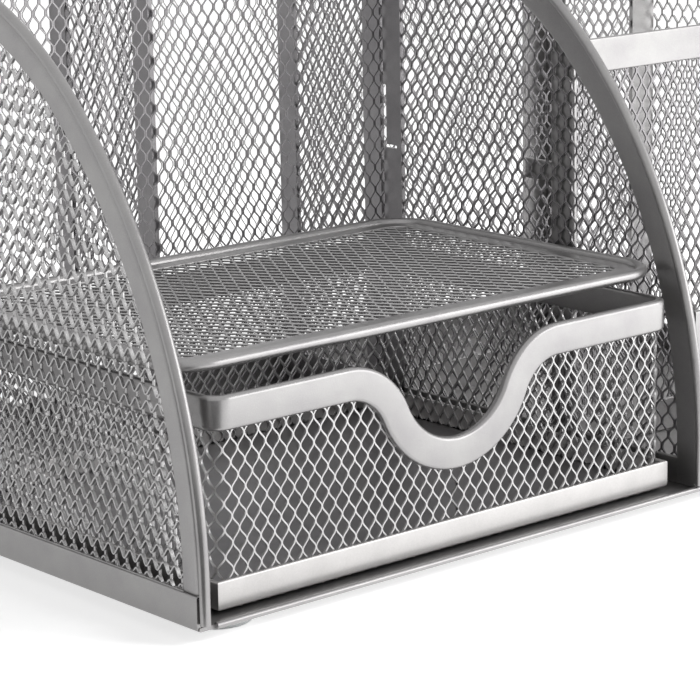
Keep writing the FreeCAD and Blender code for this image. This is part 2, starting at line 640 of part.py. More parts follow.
# ---- shelf: round bead outside, flat strip inside, mesh between ------------------------
rim = new_body("shelf_rim")
flat = new_sketch(rim, "Strip", "XY_Plane", "shelf_z - shelf_sheet / 2")
SHELF = ("shelf_left", "shelf_right", "shelf_front", "shelf_rear", "shelf_corner")
b, s = num("shelf_bead"), num("shelf_inset")
round_rectangle(flat, *SHELF, "shelf_bead", b)
round_rectangle(flat, *SHELF, "shelf_inset", s)
pad(rim, flat, "shelf_sheet")
for y, turn_y, rear in (("shelf_front + shelf_bead", "shelf_front + shelf_corner", False),
                        ("shelf_rear - shelf_bead", "shelf_rear - shelf_corner", True)):
    run = bead_section(rim, "YZ_Plane", "shelf_left + shelf_corner", y, "shelf_z",
                       "shelf_bead")
    pad(rim, run, "shelf_right - shelf_left - 2 * shelf_corner")
    bead_turn(run, "Vertical", turn_y, 90.0, not rear)
    bend = bead_section(rim, "YZ_Plane", "shelf_right - shelf_corner", y, "shelf_z",
                        "shelf_bead")
    bead_turn(bend, "Vertical", turn_y, 90.0, rear)
for x in ("shelf_left + shelf_bead", "shelf_right - shelf_bead"):
    run = bead_section(rim, "XZ_Plane", "shelf_front + shelf_corner", x, "shelf_z",
                       "shelf_bead")
    pad(rim, run, "shelf_rear - shelf_front - 2 * shelf_corner", True)
shelf = new_body("shelf_mesh")
sketch = new_sketch(shelf, "Mesh", "XY_Plane", "shelf_z - mesh_sheet / 2")
round_rectangle(sketch, *SHELF, "shelf_inset", s)
sketch.Label2 = "shelf_z - mesh_sheet / 2"
pad(shelf, sketch, "mesh_sheet")


def shelf_outlines(rim):
    """The shelf's window, plain and inset by the net's rim."""
    round_rectangle(rim, *SHELF, "shelf_inset", s)
    round_rectangle(rim, *SHELF, "shelf_inset + net_rim", s + num("net_rim"))


open_net(shelf, "XY_Plane", "shelf_left + shelf_inset", "shelf_right - shelf_inset",
         "shelf_front + shelf_inset", "shelf_rear - shelf_inset", shelf_outlines)

# ---- drawer runners ----------------------------------------------------------------------
for name, x0, x1 in (
        ("left_runner", "rim_left + runner_inset", "rim_left + runner_inset + runner_width"),
        ("right_runner", "rim_right - runner_inset - runner_width",
         "rim_right - runner_inset")):
    runner = new_body(name)
    sketch = new_sketch(runner, "Outline", "XY_Plane", "floor_top")
    rectangle(sketch, x0, x1, "rim_front + runner_setback", "inner_front")
    pad(runner, sketch, "runner_height")

# ---- drawer ----------------------------------------------------------------------------
pan = new_body("drawer_pan")
sketch = new_sketch(pan, "Outline", "XY_Plane", "pan_bottom")
rectangle(sketch, "rim_left + pan_inset", "rim_right - pan_inset",
          "rim_front + pan_inset", "rim_rear - pan_inset")
pad(pan, sketch, "pan_flange")
sketch = new_sketch(pan, "Inside", "XY_Plane", "pan_bottom + pan_flange")
rectangle(sketch, "rim_left + rim_overhang", "rim_right - rim_overhang",
          "rim_front + rim_overhang", "rim_rear - rim_overhang")
pocket(pan, sketch, "pan_flange - pan_sheet")
doc.recompute()
folds = edges_where(pan.Tip.Shape, lambda edge, p: near(p.z, num("pan_bottom")))
fillet(pan, pan.Tip, folds, "fold_radius")


def notch_run(shift, value):
    """Points and arcs along the band's edge, left to right, shift below its top edge."""
    left, right = num("rim_left") - 5, num("rim_right") + 5
    middle, top = num("bay_centre"), num("rim_top")
    half, bowl, shoulder = (num("notch_half_width"), num("notch_bowl"),
                            num("shoulder_radius"))
    c_bowl = (middle, num("notch_z"))
    c_left, c_right = (middle - half, top - shoulder), (middle + half, top - shoulder)
    share = (shoulder - value) / (shoulder + bowl)
    p_left = (c_left[0] + (c_bowl[0] - c_left[0]) * share,
              c_left[1] + (c_bowl[1] - c_left[1]) * share)
    p_right = (2 * middle - p_left[0], p_left[1])
    level = top - value
    points = [(left, level), (c_left[0], level), p_left, p_right,
              (c_right[0], level), (right, level)]
    small, big = "shoulder_radius - ( %s )" % shift, "notch_bowl + ( %s )" % shift
    return points, {1: (c_left, small), 2: (c_bowl, big), 3: (c_right, small)}


def curtain_sketch(name, top_shift, top_value, low_shift=None, low_value=0.0, low="pan_bottom"):
    """Front elevation of the drawer between two edges that follow the notch."""
    sketch = doc.addObject("Sketcher::SketchObject", name)
    sketch.Placement = FreeCAD.Placement(Vector(0, 0, 0), FreeCAD.Rotation(X, 90))
    sketch.setExpression("Placement.Base.y", ref("rim_front - rim_overhang"))
    points, arcs = notch_run(top_shift, top_value)
    if low_shift is None:
        points += [(points[-1][0], num(low)), (points[0][0], num(low))]
        runs = chain(sketch, points, arcs)
        dimension(sketch, "DistanceY", (runs[6][0], 1), low)
    else:
        below, below_arcs = notch_run(low_shift, low_value)
        count = len(points)
        points += below[::-1]
        for i, arc in below_arcs.items():
            arcs[count + 4 - i] = arc
        runs = chain(sketch, points, arcs)
        dimension(sketch, "DistanceY", (runs[6][0], 1), "rim_top - ( %s )" % low_shift)
        dimension(sketch, "DistanceX", (runs[8][0], 3), "bay_centre")
        dimension(sketch, "DistanceY", (runs[8][0], 3), "notch_z")
        # the far straight is level with the near one
        sketch.addConstraint(Sketcher.Constraint(
            "Horizontal", runs[6][0], 1, runs[10][0], 2))
    dimension(sketch, "DistanceX", (runs[0][0], 1), "rim_left - rim_overhang")
    dimension(sketch, "DistanceX", (runs[4][0], 2), "rim_right + rim_overhang")
    dimension(sketch, "DistanceY", (runs[0][0], 1), "rim_top - ( %s )" % top_shift)
    dimension(sketch, "DistanceX", (runs[2][0], 3), "bay_centre")
    dimension(sketch, "DistanceY", (runs[2][0], 3), "notch_z")
    sketch.addConstraint(Sketcher.Constraint("Horizontal", runs[0][0], 1, runs[4][0], 2))
    return sketch


def extrusion(name, sketch, length, up):
    """Part extrusion of a sketch along a direction."""
    solid = doc.addObject("Part::Extrusion", name)
    solid.Base = sketch
    solid.DirMode = "Custom"
    solid.Dir = up
    solid.Solid = True
    solid.setExpression("LengthFwd", ref(length))
    return solid


def drawer_ring(label, outer, outer_value, inner, inner_value, low, high, curtain, box_low,
                box_high):
    """Upright ring round the drawer, cut to its front elevation.

    The ring runs from low to high.  In front it keeps what lies in the curtain, and
    behind the front corners what lies between box_low and box_high.
    """
    plan = doc.addObject("Sketcher::SketchObject", label + "_plan")
    plan.setExpression("Placement.Base.z", ref(low))
    frame = ("rim_left", "rim_right", "rim_front", "rim_rear", "drawer_corner")
    round_rectangle(plan, *frame, outer, outer_value)
    round_rectangle(plan, *frame, inner, inner_value)
    ring = extrusion(label + "_ring", plan, "%s - ( %s )" % (high, low), Z)
    front = extrusion(label + "_front", curtain, "drawer_corner + 2 * rim_overhang", Y)
    rest = doc.addObject("Part::Box", label + "_rest")
    for prop, formula in (
            ("Placement.Base.x", "rim_left - rim_overhang"),
            ("Placement.Base.y", "rim_front + rim_overhang + drawer_corner"),
            ("Placement.Base.z", box_low),
            ("Length", "rim_right - rim_left + 2 * rim_overhang"),
            ("Width", "rim_rear - rim_front - drawer_corner"),
            ("Height", "%s - ( %s )" % (box_high, box_low))):
        rest.setExpression(prop, ref(formula))
    both = doc.addObject("Part::Fuse", label + "_envelope")
    both.Base, both.Tool = front, rest
    piece = doc.addObject("Part::Common", label)
    piece.Label = label
    piece.Base, piece.Tool = ring, both
    piece.Refine = True
    parts.append(piece)
    return piece


band = curtain_sketch("band_elevation", "0", 0.0, "rim_height", num("rim_height"))
drawer_ring("drawer_rim", "0", 0.0, "mesh_in", num("mesh_in"),
            "rim_low - notch_depth", "rim_top", band, "rim_low", "rim_top")
below = curtain_sketch("mesh_elevation", "rim_height", num("rim_height"))
drawer_ring("drawer_mesh", "rim_overhang", num("rim_overhang"), "mesh_in", num("mesh_in"),
            "pan_bottom + pan_sheet", "rim_low", below, "pan_bottom", "rim_low")

# ---- feet --------------------------------------------------------------------------------
for name, side, end in (("front_left_foot", "-1", "-1"), ("front_right_foot", "1", "-1"),
                        ("rear_left_foot", "-1", "1"), ("rear_right_foot", "1", "1")):
    foot = new_body(name)
    disc = foot.newObject("PartDesign::AdditivePrism", "Disc")
    disc.Polygon = 24
    disc.setExpression("Circumradius", ref("foot_radius"))
    disc.setExpression("Height", ref("foot_height"))
    doc.recompute()
    below = edges_where(disc.Shape, lambda edge, p: near(p.z, 0))
    bevel = foot.newObject("PartDesign::Chamfer", "Bevel")
    bevel.Base = (disc, below)
    bevel.setExpression("Size", ref("foot_height * 0.3"))
    foot.setExpression("Placement.Base.x", ref("%s * ( half_width - foot_inset )" % side))
    foot.setExpression("Placement.Base.y", ref("%s * ( base_rear - foot_inset )" % end))

doc.recompute()

# ---- check every object, then write one file for each piece ---------------------------
for item in doc.Objects:
    if "Invalid" in item.State or "Error" in item.State:
        raise RuntimeError("%s (%s) did not build: %s" % (item.Name, item.Label, item.State))
os.makedirs("parts", exist_ok=True)
for piece in parts:
    shape = piece.Shape
    if shape.isNull() or not shape.isValid() or not shape.Solids:
        raise RuntimeError("%s has no valid solid" % piece.Label)
    shape.exportStep(os.path.join("parts", piece.Label + ".step"))
    box = shape.BoundBox
    print("%-20s solids %d  volume %9.1f  X %7.2f %7.2f  Y %7.2f %7.2f  Z %7.2f %7.2f" % (
        piece.Label, len(shape.Solids), shape.Volume, box.XMin, box.XMax,
        box.YMin, box.YMax, box.ZMin, box.ZMax))
print("%d pieces" % len(parts))
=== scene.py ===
# %% [markdown]
# # Silver mesh desk organizer with a drawer
#
# The organizer is made of sheet steel: curved side panels, straight walls and a shelf, each
# one a steel frame round a sheet of expanded mesh, on a folded tray.  A drawer with a
# half-moon finger notch slides under the shelf.
#
# The CAD model gives every piece its place, in metres, with +X to the right, +Y to the back
# and +Z up.  It is loaded first and never changed: a piece below either gets a finish on
# its CAD surface, or is worked out anew as a finer surface in the same place.

# %% Load the frame
import bpy
import numpy as np
from mathutils import Matrix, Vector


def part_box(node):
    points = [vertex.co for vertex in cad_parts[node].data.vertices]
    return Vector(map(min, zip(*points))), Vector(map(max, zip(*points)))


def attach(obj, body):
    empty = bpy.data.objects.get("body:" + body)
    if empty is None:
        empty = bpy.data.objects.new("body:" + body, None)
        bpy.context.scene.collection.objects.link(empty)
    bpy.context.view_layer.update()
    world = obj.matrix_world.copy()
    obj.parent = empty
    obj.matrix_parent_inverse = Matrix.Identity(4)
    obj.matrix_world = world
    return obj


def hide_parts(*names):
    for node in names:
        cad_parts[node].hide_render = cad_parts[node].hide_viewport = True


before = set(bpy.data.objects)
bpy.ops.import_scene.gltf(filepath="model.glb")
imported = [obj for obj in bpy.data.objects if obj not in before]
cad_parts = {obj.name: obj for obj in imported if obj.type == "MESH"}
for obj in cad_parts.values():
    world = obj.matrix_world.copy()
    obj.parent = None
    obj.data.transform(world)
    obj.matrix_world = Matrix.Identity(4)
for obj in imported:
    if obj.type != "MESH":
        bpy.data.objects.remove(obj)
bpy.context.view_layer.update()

# %% [markdown]
# Steel sheet is measured in millimetres, and Blender works in metres, so sizes are written
# in millimetres and turned into metres at one place only, where a mesh is made.

# %% Millimetres
MM = 0.001


def span(node):
    """Lowest and highest corner of a CAD node at rest, in millimetres."""
    low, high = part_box(node)
    return np.array(low) / MM, np.array(high) / MM


tray_low, tray_high = span("base_tray")
print("tray, mm:", tray_low.round(2), tray_high.round(2))

# %% [markdown]
# ## Camera
#
# A camera close to the front left corner would make the near corner large.  Here it stands
# more than half a metre off with a long lens, as for a catalogue picture.  Its direction is
# given the way a tripod head is set: turned to the right, tipped down and hardly rolled.
# From those three angles come the three directions right, down and forward, and a camera's
# matrix holds right, up and backward.

# %% Camera
YAW, PITCH, ROLL = np.radians([40.61, 13.24, 1.0])
STAND = np.array([-413.54, -464.85, 172.16])      # millimetres
PICTURE = 700.0                                   # width of the picture in pixels
FOCAL, OFF_CENTRE = 2830.0, -7.6                  # focal length and side shift in pixels


def tripod(yaw, pitch, roll):
    """Right, down and forward of a camera: forward is turned by yaw from +Y towards +X and
    tipped by pitch, and right and down are turned by roll about it."""
    forward = np.array([np.sin(yaw) * np.cos(pitch), np.cos(yaw) * np.cos(pitch),
                        -np.sin(pitch)])
    level = np.array([np.cos(yaw), -np.sin(yaw), 0.0])
    below = np.cross(forward, level)
    right = np.cos(roll) * level + np.sin(roll) * below
    down = np.cos(roll) * below - np.sin(roll) * level
    return right, down, forward


right, down, forward = tripod(YAW, PITCH, ROLL)
lens = bpy.data.cameras.new("camera")
lens.sensor_width = 36.0
lens.lens = FOCAL / PICTURE * lens.sensor_width
lens.shift_x = OFF_CENTRE / PICTURE
lens.clip_start, lens.clip_end = 0.01, 50.0
camera = bpy.data.objects.new("camera", lens)
turn = np.eye(4)
turn[:3, 0], turn[:3, 1], turn[:3, 2], turn[:3, 3] = right, -down, -forward, STAND * MM
camera.matrix_world = Matrix(turn.tolist())
bpy.context.scene.collection.objects.link(camera)
bpy.context.scene.camera = camera
bpy.context.scene.view_settings.view_transform = "Standard"
print("lens %.1f mm, from %s mm" % (lens.lens, STAND))

# %% [markdown]
# ## Finishes
#
# Everything steel on the organizer has one kind of finish: silver lacquer, baked on.
# It could be a plain grey plastic shader, but the lacquer holds aluminium flakes, which
# mirror the room in a blurred way, so it is a metal with a middling roughness.  The flakes
# give it a fine grain, and the spray leaves a faint orange peel.
#
# It comes in four shades here, found by trial: lit and shaded copies of one lacquer, so that
# the parts stand out from each other as they should.  Beside the strips, the outer meshes are
# painted a step lighter, and the upright edge of the drawer's pan lighter still, a painted
# highlight.  The meshes inside, the middle panel's post, the pan's floor and two inner frames
# get a painted shade, darker for the light that falls less there.  A real organizer most
# likely has one shade all over.
#
# Colours are written as sRGB hex, the way a paint card gives them, and one function makes
# them linear.

# %% Colour and node helpers
def linear(paint):
    """sRGB hex to linear RGBA: ((c + 0.055) / 1.055) ^ 2.4, or c / 12.92 for dark values."""
    c = np.array([int(paint[i:i + 2], 16) / 255.0 for i in (1, 3, 5)])
    c = np.where(c > 0.04045, ((c + 0.055) / 1.055) ** 2.4, c / 12.92)
    return (*c.tolist(), 1.0)


def add_node(tree, kind, inputs=(), **settings):
    """Add a node, set its properties, then fill its inputs with values or links."""
    node = tree.nodes.new(kind)
    for key, value in settings.items():
        setattr(node, key, value)
    for key, value in dict(inputs).items():
        if isinstance(value, bpy.types.NodeSocket):
            tree.links.new(value, node.inputs[key])
        else:
            node.inputs[key].default_value = value
    return node


def new_finish(name):
    """An empty material with its output node."""
    finish = bpy.data.materials.new(name)
    finish.use_nodes = True
    finish.node_tree.nodes.clear()
    return finish, finish.node_tree, finish.node_tree.nodes.new("ShaderNodeOutputMaterial")


print("middle grey #808080 is linear", np.round(linear("#808080"), 3))


# %% Silver lacquer
def silver_lacquer(name, dark, light, rough, grain_mm, peel_mm, peel_depth_mm):
    """Baked silver lacquer: metal flakes of grain_mm, orange peel of peel_mm.

    Colour runs from dark to light with a cloudy noise, roughness is rough +- 0.05, and the
    bump adds the peel's height and a tenth of it as grain.
    """
    finish, tree, out = new_finish(name)
    place = add_node(tree, "ShaderNodeTexCoord").outputs["Object"]
    cloud = add_node(tree, "ShaderNodeTexNoise", {
        "Vector": place, "Scale": 1 / (9.0 * MM), "Detail": 3.0, "Roughness": 0.6})
    grain = add_node(tree, "ShaderNodeTexNoise", {
        "Vector": place, "Scale": 1 / (grain_mm * MM), "Detail": 2.0, "Roughness": 0.7})
    peel = add_node(tree, "ShaderNodeTexNoise", {
        "Vector": place, "Scale": 1 / (peel_mm * MM), "Detail": 1.0})
    blend = add_node(tree, "ShaderNodeMath", {0: cloud.outputs["Fac"], 1: grain.outputs["Fac"]},
                     operation="ADD")
    share = add_node(tree, "ShaderNodeMapRange", {
        "Value": blend.outputs["Value"], "From Min": 0.7, "From Max": 1.3})
    colour = add_node(tree, "ShaderNodeMix", {
        "Factor": share.outputs["Result"], "A": linear(dark), "B": linear(light)},
        data_type="RGBA")
    satin = add_node(tree, "ShaderNodeMapRange", {
        "Value": grain.outputs["Fac"], "From Min": 0.3, "From Max": 0.7,
        "To Min": rough - 0.05, "To Max": rough + 0.05})
    height = add_node(tree, "ShaderNodeMath", {
        0: grain.outputs["Fac"], 1: 0.1, 2: peel.outputs["Fac"]}, operation="MULTIPLY_ADD")
    bump = add_node(tree, "ShaderNodeBump", {
        "Height": height.outputs["Value"], "Strength": 1.0, "Distance": peel_depth_mm * MM})
    shader = add_node(tree, "ShaderNodeBsdfPrincipled", {
        "Base Color": colour.outputs["Result"], "Roughness": satin.outputs["Result"],
        "Normal": bump.outputs["Normal"], "Metallic": 0.9})
    tree.links.new(shader.outputs["BSDF"], out.inputs["Surface"])
    return finish


GRAIN_MM, PEEL_MM = 0.25, 0.9                     # spacing of the grain and of the orange peel

strip_lacquer = silver_lacquer("baked_silver_lacquer_on_strip", "#918F90", "#A09F9E", 0.34,
                               GRAIN_MM, PEEL_MM, 0.008)
# Painted light: the outer meshes' shade is a step lighter than the strips'.
net_lacquer = silver_lacquer("baked_silver_lacquer_on_mesh", "#A9A8A8", "#BBBABA", 0.36,
                             GRAIN_MM, PEEL_MM, 0.006)
# Painted highlight: the drawer pan's upright edge, a lighter copy of the lacquer.
painted_light_pan_lacquer = silver_lacquer("silver_lacquer_with_painted_light_on_drawer_pan", "#AFADAC", "#BDBBBA", 0.34,
                             GRAIN_MM, PEEL_MM, 0.010)
# Painted shade: a darker copy of the lacquer for the parts inside, where less light falls.
painted_shade_lacquer = silver_lacquer("silver_lacquer_with_painted_shade", "#7D7B7D", "#8F8D8E",
                               0.40, GRAIN_MM, PEEL_MM, 0.006)
print("lacquers:", [m.name for m in (strip_lacquer, net_lacquer, painted_light_pan_lacquer, painted_shade_lacquer)])

# %% [markdown]
# The feet are soft, milky discs.  Clear silicone would show what is behind it; these are
# frosted, so a pale grey with a little light passing into it is enough.

# %% Milky silicone
def milky_silicone(name):
    """Moulded silicone: pale, soft, with light spreading a millimetre or two inside."""
    finish, tree, out = new_finish(name)
    place = add_node(tree, "ShaderNodeTexCoord").outputs["Object"]
    cloud = add_node(tree, "ShaderNodeTexNoise", {
        "Vector": place, "Scale": 1 / (2.5 * MM), "Detail": 2.0})
    colour = add_node(tree, "ShaderNodeMix", {
        "Factor": cloud.outputs["Fac"], "A": linear("#D3D6D6"), "B": linear("#E9EBEB")},
        data_type="RGBA")
    skin = add_node(tree, "ShaderNodeMapRange", {
        "Value": cloud.outputs["Fac"], "To Min": 0.30, "To Max": 0.45})
    bump = add_node(tree, "ShaderNodeBump", {
        "Height": cloud.outputs["Fac"], "Strength": 0.5, "Distance": 0.02 * MM})
    shader = add_node(tree, "ShaderNodeBsdfPrincipled", {
        "Base Color": colour.outputs["Result"], "Roughness": skin.outputs["Result"],
        "Normal": bump.outputs["Normal"], "IOR": 1.41, "Subsurface Weight": 0.4,
        "Subsurface Radius": (1.0, 1.0, 1.0), "Subsurface Scale": 1.2 * MM})
    tree.links.new(shader.outputs["BSDF"], out.inputs["Surface"])
    return finish


silicone = milky_silicone("milky_silicone")
print("foot finish:", silicone.name)

# %% [markdown]
# ## Carrying a section along a path
#
# A rolled bead, a folded flange and a rim band all have one section all the way along, so
# each one is that section carried along a path.  Blender's curve bevel could do it, but a
# mesh worked out with numpy keeps every corner where the steel has it.  The result is a
# grid of points, one row for each step of the path, joined into four-cornered faces, with
# a flat face on each open end.

# %% Surface helpers
def turned_outward(points, faces):
    """Faces of a closed shell, turned round if its volume comes out negative.

    Volume is a sixth of the sum over triangles of a . (b x c), each face cut into a fan.
    """
    volume = 0.0
    for group in faces:
        a = points[group[:, :1]]
        b, c = points[group[:, 1:-1]], points[group[:, 2:]]
        volume += float(np.sum(a * np.cross(b, c)))
    return points, [group[:, ::-1] for group in faces] if volume < 0 else faces


def carried(section, path, across, up, closed=False):
    """Carry a closed section along a path, as a closed shell.

    Point (s, t) = path(s) + section_0(t) across(s) + section_1(t) up(s).
    """
    path, across, up = (np.asarray(v, float).reshape(-1, 3) for v in (path, across, up))
    section = np.asarray(section, float)
    grid = (path[:, None] + section[None, :, :1] * across[:, None]
            + section[None, :, 1:] * up[:, None])
    n, m = grid.shape[:2]
    i, j = np.meshgrid(np.arange(n if closed else n - 1), np.arange(m), indexing="ij")
    k, l = (i + 1) % n, (j + 1) % m
    quads = np.stack([i * m + j, i * m + l, k * m + l, k * m + j], -1).reshape(-1, 4)
    ends = [] if closed else [np.arange(m)[None, ::-1], (n - 1) * m + np.arange(m)[None]]
    return turned_outward(grid.reshape(-1, 3), [quads] + ends)


def joined(shells):
    """Several shells as one list of points and one of faces."""
    starts = np.cumsum([0] + [len(points) for points, _ in shells])
    return (np.concatenate([points for points, _ in shells]),
            [group + start for (_, faces), start in zip(shells, starts) for group in faces])


def add_piece(name, shell, finish, body, stands_for, crease=40.0):
    """One object from a shell in millimetres: smooth, with edges over crease kept sharp."""
    points, faces = shell
    mesh = bpy.data.meshes.new(name)
    counts = np.concatenate([np.full(len(group), group.shape[1]) for group in faces])
    corners = np.concatenate([group.ravel() for group in faces])
    mesh.vertices.add(len(points))
    mesh.vertices.foreach_set("co", (np.asarray(points) * MM).ravel())
    mesh.loops.add(len(corners))
    mesh.loops.foreach_set("vertex_index", corners.astype(np.int32))
    mesh.polygons.add(len(counts))
    mesh.polygons.foreach_set("loop_start", np.cumsum(counts) - counts)
    mesh.update(calc_edges=True)
    mesh.validate()
    mesh.polygons.foreach_set("use_smooth", np.ones(len(counts), bool))
    mesh.set_sharp_from_angle(angle=np.radians(crease))
    mesh.materials.append(finish)
    piece = bpy.data.objects.new(name, mesh)
    bpy.context.scene.collection.objects.link(piece)
    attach(piece, body)
    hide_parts(*stands_for)
    print("%-24s %7d triangles" % (name, int(np.sum(counts - 2))))
    return piece


# %% [markdown]
# Sections and paths are drawn from two things, arcs and straight runs.  A rounded
# rectangle is four arcs, and the runs between them come by themselves when the points are
# joined.  A path also needs, at every point, the direction that leads inwards from the
# edge.

# %% Arcs, rounded rectangles and rings
def arc(centre, radius, start, stop, step=6.0):
    """Points centre + radius (cos, sin) from start to stop, in degrees."""
    turns = np.radians(np.linspace(start, stop, max(2, int(abs(stop - start) / step) + 1)))
    return np.asarray(centre, float) + radius * np.stack([np.cos(turns), np.sin(turns)], 1)


def rounded_box(low, high, radius, step=18.0):
    """Rectangle from corner low to corner high with quarter arcs at its corners."""
    (x0, y0), (x1, y1), r = low, high, radius
    return np.concatenate([arc((x1 - r, y1 - r), r, 0, 90, step),
                           arc((x0 + r, y1 - r), r, 90, 180, step),
                           arc((x0 + r, y0 + r), r, 180, 270, step),
                           arc((x1 - r, y0 + r), r, 270, 360, step)])


def bar(low, high, axis, radius):
    """A straight bar along an axis, 0, 1 or 2, its section a rounded rectangle."""
    low, high = np.asarray(low, float), np.asarray(high, float)
    u, v = [i for i in range(3) if i != axis]
    path = np.zeros((2, 3))
    path[:, axis] = low[axis], high[axis]
    across, up = np.tile(np.eye(3)[u], (2, 1)), np.tile(np.eye(3)[v], (2, 1))
    return carried(rounded_box(low[[u, v]], high[[u, v]], radius), path, across, up)


def round_ring(p, low, high, radius, inset=0.0):
    """Place and outward direction on a rounded rectangle, at the distances p along it.

    p starts in the middle of the front and runs to the right.  The rectangle's core, which
    is inset by the radius, moves along the straights and stands still in the corners, where
    the direction turns instead: place = core + (radius - inset) (cos a, sin a).
    """
    (x0, y0), (x1, y1), r = low, high, radius
    mid, wide, deep, quarter = (x0 + x1) / 2, x1 - x0 - 2 * r, y1 - y0 - 2 * r, np.pi * r / 2
    knots = np.cumsum([0, wide / 2, quarter, deep, quarter, wide, quarter, deep, quarter,
                       wide / 2])
    left, rite, near, far = x0 + r, x1 - r, y0 + r, y1 - r
    q = np.mod(p, knots[-1])
    x = np.interp(q, knots, [mid, rite, rite, rite, rite, left, left, left, left, mid])
    y = np.interp(q, knots, [near, near, near, far, far, far, far, near, near, near])
    a = np.radians(np.interp(q, knots, [-90, -90, 0, 0, 90, 90, 180, 180, 270, 270]))
    out = np.stack([np.cos(a), np.sin(a)], -1)
    return np.stack([x, y], -1) + (r - inset) * out, out


def ring_length(low, high, radius):
    """Way round a rounded rectangle."""
    return 2 * (high[0] - low[0] + high[1] - low[1]) - 8 * radius + 2 * np.pi * radius


print("a 10 x 6 rectangle with 2 mm corners is %.2f mm round" % ring_length((0, 0), (10, 6), 2))

# %% [markdown]
# ## Side panels
#
# A side panel's frame is a flat steel strip, folded over the edge of the mesh and rolled
# into a round bead along the outer edge.  Seen along the edge it is one section: bead,
# narrow groove, flat strip with a rounded inner edge.  It could be a tube lying on a plate,
# but the groove between them would then be too sharp, so bead and strip are one closed
# line.
#
# The path rises from the tray, turns back through two arcs of different radius that meet
# at 45 degrees, runs level to the rear corner and down again.

# %% Sizes of the panels
BEAD = 1.05                                       # radius of the rolled bead
STRIP = 7.6                                       # edge of the panel to the window
REAR_CORNER = 6.0                                 # radius at an outer panel's upper rear
TUCKED = 0.02                                     # keeps two pieces' faces from coinciding
panel_low, panel_high = span("left_panel_frame")
middle_low, middle_high = span("middle_front_frame")
FRONT, REAR, TOP, FLOOR = panel_low[1], panel_high[1], panel_high[2], panel_low[2]
FLANGE_TOP = tray_high[2]
CURVE_START = FLANGE_TOP + 2.0
CURVE_END = middle_high[1] - 9.0
HALF = np.sqrt(0.5)
run, rise = CURVE_END - FRONT, TOP - CURVE_START
LOWER_R = (rise * HALF - run * (1 - HALF)) / (2 * HALF - 1)
UPPER_R = (run * HALF - rise * (1 - HALF)) / (2 * HALF - 1)
LOWER_C = np.array([FRONT + LOWER_R, CURVE_START])
UPPER_C = np.array([CURVE_END, TOP - UPPER_R])
print("panel curve: radii %.1f and %.1f mm" % (LOWER_R, UPPER_R))


# %% Panel edge
def panel_edge(foot, rear, rear_foot=None):
    """Bead's centre line in (Y, Z), and the inward direction at each point.

    Upright, arc of LOWER_R to 45 degrees, arc of UPPER_R to level, then either on to the
    rear, or round the rear corner and down to rear_foot.
    """
    lower = arc(LOWER_C, LOWER_R - BEAD, 180, 135, 1.5)
    upper = arc(UPPER_C, UPPER_R - BEAD, 135, 90, 1.5)
    points = [[[FRONT + BEAD, foot]], lower, upper[1:]]
    inward = [[[1.0, 0.0]], (LOWER_C - lower) / (LOWER_R - BEAD),
              (UPPER_C - upper[1:]) / (UPPER_R - BEAD)]
    if rear_foot is None:
        points.append([[rear, TOP - BEAD]])
        inward.append([[0.0, -1.0]])
    else:
        centre = np.array([rear - REAR_CORNER, TOP - REAR_CORNER])
        corner = arc(centre, REAR_CORNER - BEAD, 90, 0, 6)
        points += [corner, [[rear - BEAD, rear_foot]]]
        inward += [(centre - corner) / (REAR_CORNER - BEAD), [[-1.0, 0.0]]]
    return np.concatenate(points), np.concatenate(inward)


def beaded_strip(outer, inner, width, groove=0.6, bead=BEAD):
    """Section (inwards, outwards) of bead, groove and strip; the bead's centre is (0, 0).

    outer and inner are the strip's two faces.  The line runs round the bead, along the
    inner face, round the strip's edge and back along the outer face into the groove.
    """
    dip = outer - groove
    a0, a1 = np.degrees(np.arcsin(dip / bead)), 360 + np.degrees(np.arcsin(inner / bead))
    half = (outer - inner) / 2
    edge = arc((width - half, (outer + inner) / 2), half, -90, 90, 22.5)
    return np.concatenate([arc((0, 0), bead, a0, a1, 15), edge,
                           [[bead + 1.7, outer], [bead + 1.1, outer - 0.08],
                            [bead + 0.6, outer - 0.25], [bead + 0.2, dip + 0.05]]])


def panel_frame(x, side, rear, foot, faces, rear_foot=None):
    """Shells of a panel's frame at the bead's middle plane x; side is its outward sign.

    The beaded strip runs along the curve, and a flat bar joins its ends at the foot.
    """
    line, inward = panel_edge(foot, rear, rear_foot)
    path = np.column_stack([np.full(len(line), x), line])
    across = np.column_stack([np.zeros(len(line)), inward])
    up = np.tile([side, 0.0, 0.0], (len(line), 1))
    low_x, high_x = sorted((x + side * faces[0], x + side * faces[1]))
    last = rear if rear_foot is None else rear - BEAD
    return [carried(beaded_strip(faces[0], faces[1], STRIP - BEAD), path, across, up),
            bar((low_x + TUCKED, FRONT + 2.4, FLOOR), (high_x - TUCKED, last, FLANGE_TOP),
                1, 0.4)]


OUTER, INNER = 0.25, -0.95                        # a side panel's faces from the bead's centre
section = beaded_strip(OUTER, INNER, STRIP - BEAD)
print("panel section: %d points, %.1f mm wide" % (len(section), np.ptp(section[:, 0])))

# %% Left and right panel frames
side_x = panel_low[0] + BEAD
for name, x, side in (("left_panel_frame", side_x, -1), ("right_panel_frame", -side_x, 1)):
    shells = panel_frame(x, side, REAR, FLOOR + 0.7, (OUTER, INNER), FLANGE_TOP + 0.3)
    near, far = sorted((x + side * OUTER, x + side * INNER))
    shells.append(bar((near + TUCKED, REAR - STRIP, FLOOR),
                      (far - TUCKED, REAR - BEAD, 20.0), 2, 0.4))
    add_piece(name.replace("frame", "rolled_frame"), joined(shells), strip_lacquer,
              "carcass", [name])

# %% [markdown]
# The middle panel has the same curve, but ends at the inner wall with a narrow post.  A
# slit for a locking tab is cut into the post from the wall, and there a slot rises along
# the wall.  The post is one outline, carried through the thickness of the sheet.

